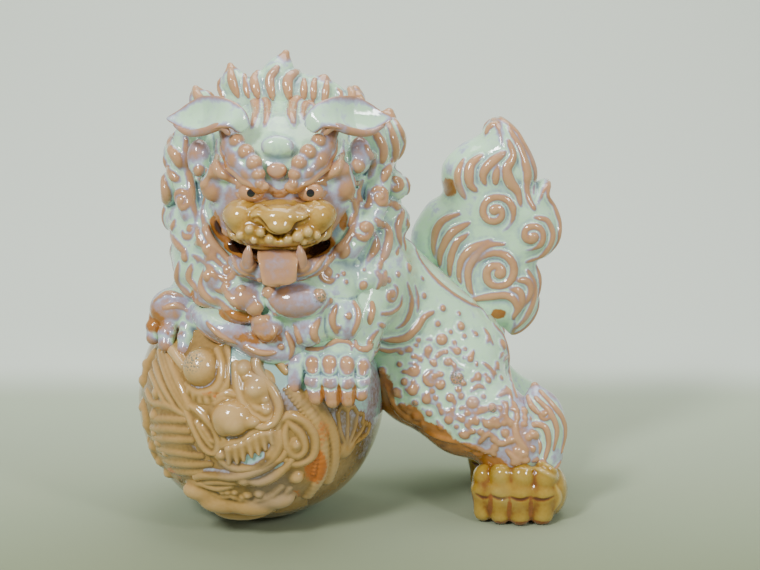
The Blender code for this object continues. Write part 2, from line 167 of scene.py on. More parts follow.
def slopeAt(clay, points):
    # which way is out: the difference of the distances 1 mm to either side, along x, y and z
    slope = np.stack([sample(clay, points + d) - sample(clay, points - d) for d in np.eye(3)], 1)
    return slope / np.maximum(np.linalg.norm(slope, axis=1), 1e-6)[:, None]


def settle(clay, points, rounds=8):
    # moves points to the nearest surface
    points = np.array(points, float)
    for _ in range(rounds):
        points = points - slopeAt(clay, points) * sample(clay, points)[:, None]
    return points


def land(clay, points, heading=(0, 1, 0)):
    # sends points along heading until they meet the surface, or takes where they pass it nearest
    points, heading = np.array(points, float), np.array(heading, float)
    best, nearest = points.copy(), np.full(len(points), 1e9)
    for _ in range(60):
        distance = sample(clay, points)
        closer = np.abs(distance) < nearest
        best[closer], nearest[closer] = points[closer], np.abs(distance[closer])
        points = points + heading * np.clip(distance, -4, 12)[:, None] * 0.85
    return settle(clay, best, 4)


def fromFront(clay, places, heading=(0, 1, 0)):
    # plan places (x, z) laid on the front of the clay, or on its back for a heading towards the viewer
    places = np.array(places, float).reshape(-1, 2)
    start = np.column_stack([places[:, 0], np.full(len(places), -heading[1] * 240.0), places[:, 1]])
    return land(clay, start, heading)


def smoothPath(points, count):
    # a Catmull-Rom curve through the points, in equal steps of its own length
    points = np.array(points, float)
    if len(points) == 2:
        return points[0] + np.linspace(0, 1, count)[:, None] * (points[1] - points[0])
    wide = np.vstack([2 * points[0] - points[1], points, 2 * points[-1] - points[-2]])
    t = np.linspace(0, len(points) - 1, 12 * len(points))
    i = np.minimum(t.astype(int), len(points) - 2)
    u = (t - i)[:, None]
    a, b, c, d = wide[i], wide[i + 1], wide[i + 2], wide[i + 3]
    curve = 0.5 * (2 * b + (c - a) * u + (2 * a - 5 * b + 4 * c - d) * u**2 + (3 * b - a - 3 * c + d) * u**3)
    length = np.concatenate([[0], np.cumsum(np.linalg.norm(np.diff(curve, axis=0), axis=1))])
    even = np.linspace(0, length[-1], count)
    return np.stack([np.interp(even, length, curve[:, k]) for k in range(curve.shape[1])], 1)


def addRope(clay, path, radii, blend=1.2, carve=False):
    # a rope of clay along a path: its own round links are joined first, then pressed on as one
    path, radii = np.array(path, float), np.array(radii, float)
    pad = radii.max() + blend + 2
    window, axes = windowOf(clay, path.min(0) - pad, path.max(0) + pad)
    if window is None:
        return
    low = [clay["low"][i] + clay["step"] * window[i].start for i in range(3)]
    own = {"low": np.array(low), "step": clay["step"]}
    own["field"] = np.full(clay["field"][window].shape, 9.0, np.float32)
    for start, end, a, b in zip(path[:-1], path[1:], radii[:-1], radii[1:]):
        inner, innerAxes = windowOf(own, np.minimum(start, end) - pad, np.maximum(start, end) + pad)
        if inner is not None and np.linalg.norm(end - start) > 1e-4:
            own["field"][inner] = np.minimum(own["field"][inner], limbDistance(innerAxes, start, a, end, b))
    press(clay, window, own["field"], blend, carve)


def swell(count, radius, ends=(0.55, 0.45), power=0.7):
    # rope radii: thin ends and a full middle
    t = np.linspace(0, 1, count)
    full = np.sin(np.pi * t) ** power
    return radius * (full + (1 - full) * (ends[0] * (1 - t) + ends[1] * t))


def layRopes(clay, base, ropes, sink=0.3, blend=1.2, carve=False, heading=(0, 1, 0)):
    # ropes: (radius, [(x, z), ...]) on the front, or (radius, [(x, y, z), ...]) at the nearest surface
    for rope in ropes:
        radius, places = rope[:2]
        plan = np.array(places, float)
        flat = smoothPath(plan, max(5, int(np.linalg.norm(np.diff(plan, axis=0), axis=1).sum() / 2.2)))
        path = fromFront(base, flat, heading) if plan.shape[1] == 2 else settle(base, flat)
        path = path - slopeAt(base, path) * radius * sink
        ends = rope[2] if len(rope) > 2 else (0.55, 0.45)
        addRope(clay, path, swell(len(path), radius, ends), blend, carve)


def layCurl(clay, base, centre, radius, thick, turns=1.4, start=0.0, hand=1, tail=0.0, sink=0.3, blend=1.0):
    # a spiral rope round a centre: its reach shrinks with the angle, and it ends in a small knob
    centre = fromFront(base, [centre])[0] if len(centre) == 2 else settle(base, [centre])[0]
    out = slopeAt(base, centre[None])[0]
    side = np.cross((0, 0, 1), out)
    side = side / max(np.linalg.norm(side), 1e-6)
    over = np.cross(out, side)
    count = int(10 + 16 * turns)
    t = np.linspace(0, 1, count)
    angle = math.radians(start) + hand * 2 * np.pi * turns * t
    reach = radius * (1 - 0.88 * t**0.85)
    ring = centre + np.outer(reach * np.cos(angle), side) + np.outer(reach * np.sin(angle), over)
    if tail:
        leave = (ring[0] - ring[1]) / np.linalg.norm(ring[0] - ring[1])
        outward = (ring[0] - centre) / radius
        run = [ring[0] + leave * tail * s + outward * tail * 0.35 * s * s for s in np.linspace(1, 0.15, 7)]
        ring = np.vstack([run, ring])
    ring = settle(base, ring, 5)
    ring = ring - slopeAt(base, ring) * thick * sink
    radii = thick * np.interp(np.linspace(0, 1, len(ring)), [0, 0.15, 0.8, 1], [0.35, 0.9, 1, 1.25])
    addRope(clay, ring, radii, blend)


def addBumps(clay, base, bumps, blend=1.5, sink=0.25):
    # round knobs: (place, radius), pressed into the surface by a share of their radius
    for place, radius in bumps:
        centre = fromFront(base, [place])[0] if len(place) == 2 else settle(base, [place])[0]
        centre = centre - slopeAt(base, centre[None])[0] * radius * sink
        addMass(clay, ("egg", centre, (radius,) * 3), blend, everywhere=False)


def blurred(field, reach):
    # the mean over a small cube round each number
    field = np.clip(field, -12, 12).astype(np.float64)
    for axis in range(3):
        pad = [(0, 0)] * 3
        pad[axis] = (reach + 1, reach)
        run = np.cumsum(np.pad(field, pad, mode="edge"), axis=axis)
        high = np.take(run, range(2 * reach + 1, run.shape[axis]), axis=axis)
        low = np.take(run, range(0, run.shape[axis] - 2 * reach - 1), axis=axis)
        field = (high - low) / (2 * reach + 1)
    return field.astype(np.float32)


def copyOf(clay):
    return {"low": clay["low"], "step": clay["step"], "field": clay["field"].copy()}


# from shapes to objects
def newPiece(name, points, faces, marks=None):
    # points in plan millimetres, faces as one array of corners, marks as one number per point
    mesh = bpy.data.meshes.new(name)
    faces = faces if isinstance(faces, list) else faces.tolist()
    mesh.from_pydata(((points + planShift) * 0.001).tolist(), [], faces)
    mesh.update()
    mesh.shade_smooth()
    for mark, values in (marks or {}).items():
        layer = mesh.attributes.new(mark, "FLOAT", "POINT")
        layer.data.foreach_set("value", np.asarray(values, np.float32).ravel())
    piece = bpy.data.objects.new(name, mesh)
    bpy.context.scene.collection.objects.link(piece)
    return piece


def smoothStep(low, high, value):
    # 3 t^2 - 2 t^3, from 0 at low to 1 at high
    t = np.clip((value - low) / (high - low), 0, 1)
    return t * t * (3 - 2 * t)


def fromClay(name, clay, base, look, mirror=False):
    # the skin of the clay, with marks that say where the glaze runs thin, on edges and raised work, and where
    # creases and hollows get painted shade
    grid = openvdb.FloatGrid(30.0)
    grid.copyFromArray(clay["field"])
    points, quads = grid.convertToQuads(isovalue=0.0)
    points = clay["low"] + points.astype(float) * clay["step"]
    edge = {"low": clay["low"], "step": clay["step"]}
    edge["field"] = blurred(clay["field"], max(1, round(look.get("fine", 1.6) / clay["step"])))
    fine = sample(edge, points)
    edge["field"] = blurred(clay["field"], max(2, round(look.get("wide", 5) / clay["step"])))
    wide = sample(edge, points)
    height = sample(base, points)
    # painted shade: fine and wide fall below zero in creases and hollows, which sends these to the dark end
    # of the ramp
    thin = look.get("edge", 1.6) * fine + look.get("form", 0.55) * wide + look.get("relief", 0.45) * height
    thin += look.get("lift", 0.0) + softSpots(points, look.get("bare", ()))
    dots = [(place, (reach * 1.2,) * 3, 1.4) for place, reach in look.get("stipple", ())]
    stipple = softSpots(points, dots)
    marks = {"thin": thin, "warm": softSpots(points, look.get("warm", ())), "stipple": stipple}
    if mirror:
        points[:, 0] = 2 * faceX - points[:, 0]
        quads = quads[:, ::-1]
    print(name, len(quads) * 2, "triangles")
    return newPiece(name, points, quads, marks)


def softSpots(points, spots):
    # the sum of soft spots (centre, reach, strength)
    total = np.zeros(len(points))
    for centre, reach, strength in spots:
        away = np.linalg.norm((points - np.array(centre, float)) / np.array(reach, float), axis=1)
        total += strength * smoothStep(1, 0.45, away)
    return total


def finishPiece(piece, material, slot, *nodes):
    # gives a piece its glaze and its body, and hides the nodes that it stands for
    piece.data.materials.append(material)
    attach(piece, "root")
    if nodes:
        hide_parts(*nodes)


def sweep(name, plan):
    # an oval carried along a path: its half width and half height at even steps, closed by a round cap
    # at each end; cup pulls the middle of the oval back, and marks give the glaze
    n, m = plan.get("steps", 70), plan.get("sides", 48)
    line = smoothPath(plan["path"], n)
    t = np.linspace(0, 1, n)
    along = np.gradient(line, axis=0)
    along /= np.linalg.norm(along, axis=1)[:, None]
    side = np.cross(along, np.array(plan.get("up", (0, -1, 0)), float))
    side /= np.linalg.norm(side, axis=1)[:, None]
    over = np.cross(side, along)
    keys = ("width", "height", "cup")
    half, tall, cup = (np.interp(t, np.linspace(0, 1, len(plan[key])), plan[key]) for key in keys)
    cap = plan.get("cap", 0.08)
    shut = np.sqrt(np.clip(1 - np.clip(1 - np.minimum(t, 1 - t) / cap, 0, 1) ** 2, 0.0009, 1))
    v = np.linspace(0, 2 * np.pi, m, endpoint=False)[None, :]
    across = (half * shut)[:, None] * np.cos(v)
    upward = (tall * shut)[:, None] * np.sin(v) - cup[:, None] * (1 - np.cos(v) ** 2)
    points = line[:, None] + side[:, None] * across[..., None] + over[:, None] * upward[..., None]
    points = np.vstack([points.reshape(-1, 3), line[:1], line[-1:]])
    points[-2:] -= over[[0, -1]] * cup[[0, -1], None]
    i, j = np.meshgrid(np.arange(n - 1), np.arange(m), indexing="ij")
    a, b = i * m + j, i * m + (j + 1) % m
    ring = np.arange(m)
    first = np.stack([(ring + 1) % m, ring, np.full(m, n * m)], 1)
    last = np.stack([ring, (ring + 1) % m, np.full(m, n * m + 1)], 1) + [(n - 1) * m, (n - 1) * m, 0]
    faces = np.stack([a, b, b + m, a + m], -1).reshape(-1, 4).tolist() + first.tolist() + last.tolist()
    rim = plan.get("rim", 1.0) * np.abs(np.cos(v)) ** 4 + 0 * t[:, None]
    tip = plan.get("tip", 1.0) * smoothStep(0.82, 1, t)[:, None]
    thin = np.append((rim + tip).ravel(), [0, plan.get("tip", 1.0)]) + plan.get("lift", 0)
    under = smoothStep(0.2, -0.6, np.sin(v)) * plan.get("under", 0) + 0 * t[:, None]
    marks = {"thin": thin, "warm": np.append(under.ravel(), [0, 0]), "stipple": 0 * thin}
    if plan.get("mirror"):
        points[:, 0] = 2 * faceX - points[:, 0]
        faces = [face[::-1] for face in faces]
    return newPiece(name, points, faces, marks)


# glazes
def colour(hexCode):
    # sRGB hex to linear
    parts = [int(hexCode[i : i + 2], 16) / 255 for i in (1, 3, 5)]
    return [p / 12.92 if p <= 0.04045 else ((p + 0.055) / 1.055) ** 2.4 for p in parts] + [1]


def addNode(tree, kind, settings=None, links=None):
    # one node with its settings and what feeds its sockets
    node = tree.nodes.new(kind)
    for key, value in (settings or {}).items():
        if isinstance(key, int) or key in node.inputs:
            node.inputs[key].default_value = value
        else:
            setattr(node, key, value)
    for key, source in (links or {}).items():
        tree.links.new(source, node.inputs[key])
    return node


def glaze(name, look):
    # a run glaze: its colour follows how thick it lies, through a ramp from pooled to bare; the mark that
    # feeds it also carries painted shade in creases, which the dark low end of the ramp shows
    material = bpy.data.materials.new(name)
    material.use_nodes = True
    tree = material.node_tree
    tree.nodes.clear()
    place = addNode(tree, "ShaderNodeTexCoord").outputs["Object"]
    thin, warm, stipple = (
        addNode(tree, "ShaderNodeAttribute", {"attribute_name": mark}).outputs["Fac"]
        for mark in ("thin", "warm", "stipple")
    )
    # noises, each with the size of its patches in millimetres and its detail
    patches = [(look["cloudMm"], 3.0), (look["grainMm"], 4.0), (look["veilMm"], 2.0), (7.7, 3.0), (7, 2.0)]
    cloud, grain, veil, scorch, slowSwell = (
        addNode(
            tree, "ShaderNodeTexNoise", {"Scale": 1000 / mm, "Detail": detail}, {"Vector": place}
        ).outputs["Fac"]
        for mm, detail in patches
    )
    # total = the mark of thin glaze and painted crease shade + clouds and grain about their means
    total = thin
    for noise, strength in ((cloud, look["cloud"]), (grain, look["grain"])):
        part = addNode(tree, "ShaderNodeMath", {
            "operation": "MULTIPLY_ADD", 1: strength, 2: -0.5 * strength,
        }, {0: noise})
        sumNode = addNode(tree, "ShaderNodeMath", {"operation": "ADD"}, {0: total, 1: part.outputs[0]})
        total = sumNode.outputs[0]
    low, high = -1.5, 2.5  # the range of total that the ramp covers
    spread = addNode(tree, "ShaderNodeMapRange", {"From Min": low, "From Max": high}, {"Value": total})
    ramp = addNode(tree, "ShaderNodeValToRGB", {}, {"Fac": spread.outputs[0]})
    stops = ramp.color_ramp.elements
    while len(stops) > 1:
        stops.remove(stops[-1])
    for index, (at, tone) in enumerate(look["ramp"]):
        share = (at - low) / (high - low)
        stop = stops[0] if index == 0 else stops.new(share)
        stop.position, stop.color = share, colour(tone)
    # violet clouds over the pooled glaze
    veilShare = addNode(tree, "ShaderNodeMapRange", {
        "From Min": look["veilFrom"], "From Max": look["veilFrom"] + 0.16, "To Max": look["veil"],
    }, {"Value": veil})
    tinted = addNode(tree, "ShaderNodeMix", {
        "data_type": "RGBA", 7: colour(look["veilTone"]),
    }, {0: veilShare.outputs[0], 6: ramp.outputs["Color"]})
    # brown where the glaze burned, and painted brown shade in the gaps between toes: where warm, made ragged
    # by the grain, is high
    burnAndGapShadeTone = addNode(tree, "ShaderNodeMix", {
        "data_type": "RGBA", 6: colour(look["burnAndGapShade"][0]), 7: colour(look["burnAndGapShade"][1]),
    }, {0: scorch})
    warmAndGrain = addNode(tree, "ShaderNodeMath", {"operation": "MULTIPLY_ADD", 1: 0.9, 2: -0.45}, {0: grain})
    warmAndGrain = addNode(tree, "ShaderNodeMath", {"operation": "ADD"}, {0: warmAndGrain.outputs[0], 1: warm})
    warmShare = addNode(tree, "ShaderNodeMapRange", {
        "From Min": 0.3, "From Max": 0.75, "interpolation_type": "SMOOTHSTEP",
    }, {"Value": warmAndGrain.outputs[0]})
    toneAndShade = addNode(tree, "ShaderNodeMix", {
        "data_type": "RGBA",
    }, {0: warmShare.outputs[0], 6: tinted.outputs[2], 7: burnAndGapShadeTone.outputs[2]})
    # painted shade: dark brown deep in the mouth, where warm is higher still
    mouthShadeShare = addNode(tree, "ShaderNodeMapRange", {
        "From Min": 1.6, "From Max": 2.4, "interpolation_type": "SMOOTHSTEP",
    }, {"Value": warm})
    toneAndShade = addNode(tree, "ShaderNodeMix", {
        "data_type": "RGBA", 7: colour("#3E2416"),
    }, {0: mouthShadeShare.outputs[0], 6: toneAndShade.outputs[2]})
    # dark pits of the stippled knobs, 1.7 mm apart
    pits = addNode(tree, "ShaderNodeTexVoronoi", {"Scale": 1000 / 1.7}, {"Vector": place})
    pitShare = addNode(tree, "ShaderNodeMapRange", {
        "From Min": 0.55, "From Max": 0.25, "To Max": 0.8,
    }, {"Value": pits.outputs["Distance"]})
    pitMask = addNode(tree, "ShaderNodeMath", {
        "operation": "MULTIPLY",
    }, {0: pitShare.outputs[0], 1: stipple})
    pitted = addNode(tree, "ShaderNodeMix", {
        "data_type": "RGBA", 7: colour("#6F7566"),
    }, {0: pitMask.outputs[0], 6: toneAndShade.outputs[2]})
    # a slow swell in the glaze, and fine pinholes
    both = addNode(tree, "ShaderNodeMath", {"operation": "MULTIPLY_ADD", 1: 0.25}, {0: grain, 2: slowSwell})
    dented = addNode(tree, "ShaderNodeMath", {
        "operation": "SUBTRACT",
    }, {0: both.outputs[0], 1: pitMask.outputs[0]})
    bump = addNode(tree, "ShaderNodeBump", {
        "Strength": look["bump"], "Distance": 0.0012,
    }, {"Height": dented.outputs[0]})
    gloss = addNode(tree, "ShaderNodeMapRange", {
        "To Min": look["rough"] * 0.7, "To Max": look["rough"] * 1.5,
    }, {"Value": grain})
    shader = addNode(tree, "ShaderNodeBsdfPrincipled", {
        "IOR": 1.52, "Coat Weight": 0.7, "Coat Roughness": 0.03,
    }, {"Base Color": pitted.outputs[2], "Roughness": gloss.outputs[0], "Normal": bump.outputs[0]})
    out = addNode(tree, "ShaderNodeOutputMaterial")
    tree.links.new(shader.outputs[0], out.inputs["Surface"])
    return material


# run glaze over a tin-white ground: mint where it pools, violet round a pool, tan where it breaks; its
# lowest, grey-blue stop is partly pooled glaze and partly painted shade in deep creases
mintGlaze = glaze("mint run glaze", {
    "ramp": [
        (-1.5, "#7E92A0"), (-0.75, "#A8C6BE"), (-0.1, "#C4F0C4"), (0.25, "#C6ECCC"), (0.5, "#B6C8D0"),
        (0.78, "#AAA6BE"), (1.1, "#AA9090"), (1.45, "#B4886A"), (1.9, "#BE8E64"), (2.5, "#C89A70"),
    ],
    "cloudMm": 13, "cloud": 1.6, "grainMm": 3.6, "grain": 1.0, "veilMm": 30, "veilFrom": 0.6, "veil": 0.3,
    "veilTone": "#A6A2C0", "burnAndGapShade": ("#8A5424", "#C4843A"), "bump": 0.16, "rough": 0.09,
})
# iron glaze, ochre to amber: thin on edges, brown in creases, where the darkest brown is partly pooled glaze
# and partly painted shade
ochreGlaze = glaze("ochre iron glaze", {
    "ramp": [(-1.4, "#5E3A10"), (-0.6, "#946A1C"), (0.1, "#B88F3E"), (0.8, "#C6A156"), (2.0, "#CCAA6A")],
    "cloudMm": 20, "cloud": 1.8, "grainMm": 2.4, "grain": 0.9, "veilMm": 26, "veilFrom": 0.58, "veil": 0.35,
    "veilTone": "#AE9F98", "burnAndGapShade": ("#6E3A14", "#A8551E"), "bump": 0.24, "rough": 0.1,
})
amberGlaze = glaze("amber iron glaze", {
    "ramp": [(-1.2, "#5C2E0C"), (-0.5, "#84520F"), (0.1, "#9C7822"), (0.9, "#AE8E36"), (2.0, "#BEA25C")],
    "cloudMm": 18, "cloud": 1.6, "grainMm": 2.6, "grain": 0.9, "veilMm": 24, "veilFrom": 0.56, "veil": 0.3,
    "veilTone": "#98905F", "burnAndGapShade": ("#6E3C14", "#A25C20"), "bump": 0.24, "rough": 0.1,
})
# the ball's glaze: tan, orange where thin, violet and mint where it ran down; its dark browns lie where the
# relief is low, and in the creases of the sprigs they are partly painted shade
tanGlaze = glaze("tan run glaze", {
    "ramp": [
        (-1.5, "#9CC4BC"), (-1.2, "#9C98A6"), (-0.8, "#7A5C2E"), (-0.35, "#96743A"), (0.2, "#AE884A"),
        (0.9, "#BE9658"), (2.4, "#CEAA74"),
    ],
    "cloudMm": 30, "cloud": 1.3, "grainMm": 3.0, "grain": 1.0, "veilMm": 44, "veilFrom": 0.56, "veil": 0.35,
    "veilTone": "#A3958C", "burnAndGapShade": ("#B4560F", "#CE7F30"), "bump": 0.2, "rough": 0.1,
})


def enamel(name):
    # fired enamel on the eyeball: tan glaze, with a black pupil brushed on
    material = bpy.data.materials.new(name)
    material.use_nodes = True
    tree = material.node_tree
    tree.nodes.clear()
    place = addNode(tree, "ShaderNodeTexCoord").outputs["Object"]
    inside = addNode(tree, "ShaderNodeAttribute", {"attribute_name": "pupil"}).outputs["Fac"]
    pupil = addNode(tree, "ShaderNodeMapRange", {
        "From Min": -0.25, "From Max": 0.25, "interpolation_type": "SMOOTHSTEP",
    }, {"Value": inside})
    cloud = addNode(tree, "ShaderNodeTexNoise", {
        "Scale": 1000 / 5.6, "Detail": 3.0,
    }, {"Vector": place}).outputs["Fac"]
    ground = addNode(tree, "ShaderNodeMix", {
        "data_type": "RGBA", 6: colour("#B5804F"), 7: colour("#CF9E78"),
    }, {0: cloud})
    tone = addNode(tree, "ShaderNodeMix", {
        "data_type": "RGBA", 7: colour("#0D0D12"),
    }, {0: pupil.outputs[0], 6: ground.outputs[2]})
    shader = addNode(tree, "ShaderNodeBsdfPrincipled", {
        "IOR": 1.52, "Roughness": 0.08, "Coat Weight": 1.0, "Coat Roughness": 0.02,
    }, {"Base Color": tone.outputs[2]})
    out = addNode(tree, "ShaderNodeOutputMaterial")
    tree.links.new(shader.outputs[0], out.inputs["Surface"])
    return material


eyeEnamel = enamel("brushed eye enamel")


# castings
# A plan's keys, all in millimetres and degrees:
#   step: the size of a cell of clay; masses, lobes, cuts: as addMass takes them; blend: their fillets
#   ropes, grooves, slits, trim: (radius, places[, shares of the radius at the two ends])
#   curls: (centre, radius, thickness, turns, start angle, hand[, length of the strand that leaves it])
#   bumps, stipple: (place, radius); sink, bumpSink: how deep ropes and bumps sit, as shares of a radius
#   bare, warm: (centre, reach, strength) of the spots where the glaze runs thin, and where it burned; warm
#       above 1.6 paints dark shade deep in the mouth, and narrow warm strips paint shade between toes
#   edge, form, relief: how much narrow edges, broad swells and laid-on relief thin the glaze; edge and form
#       also paint shade in creases and hollows
#   fine, wide: how far round a point the first two of these look; lift: a thinning everywhere
#   heading: the way in which flat places are sent to the surface
def backSprig(clay, fillet):
    # a sprig's own backing, 0.75 mm under the ball's skin and about 4 mm thick, so that it meets the
    # ball in a fillet
    window, (x, y, z) = windowOf(clay, clay["low"], clay["low"] + 1e4)
    c = ballCentre.astype(np.float32)
    ball = np.sqrt((x - c[0]) ** 2 + (y - c[1]) ** 2 + (z - c[2]) ** 2) - ballRadius
    field = softMin(clay["field"][window], ball + 0.75, fillet)
    clay["field"][window] = np.maximum(field, -(ball + 5))


def cast(name, plan, material, slot, *nodes, mirror=False):
    # masses are joined, then ropes, curls and knobs are laid on them, then grooves, cuts and slits are
    # made, and trim is laid along them
    if "box" in plan:
        clay, base = newClay(*plan["box"], plan["step"]), plan["base"]
        for mass in plan.get("masses", ()):
            addMass(clay, mass, plan.get("blend", 3), everywhere=False)
    else:
        clay = clayOf(plan["masses"], plan.get("blend", 8), plan["step"])
        for mass in plan.get("lobes", ()):
            addMass(clay, mass, plan.get("lobeBlend", 5), everywhere=False)
        base = copyOf(clay)
    heading = plan.get("heading", (0, 1, 0))
    sink, ropeBlend = plan.get("sink", 0.3), plan.get("ropeBlend", 1.2)
    layRopes(clay, base, plan.get("ropes", ()), sink, ropeBlend, heading=heading)
    for curl in plan.get("curls", ()):
        layCurl(clay, base, *curl)
    addBumps(clay, base, plan.get("bumps", ()), 1.2, plan.get("bumpSink", 0.25))
    layRopes(clay, base, plan.get("grooves", ()), 0.0, 1.0, True, heading)
    for mass in plan.get("cuts", ()):
        addMass(clay, mass, plan.get("cutBlend", 2), carve=True, everywhere=False)
    for depth in plan.get("slitDepths", ()):
        layRopes(clay, base, plan["slits"], depth, 1.0, True, heading)
    layRopes(clay, base, plan.get("trim", ()), 0.0, 1.0)
    if "box" in plan:
        backSprig(clay, plan.get("fillet", 4))
    piece = fromClay(name, clay, base, plan, mirror)
    finishPiece(piece, material, slot, *nodes)


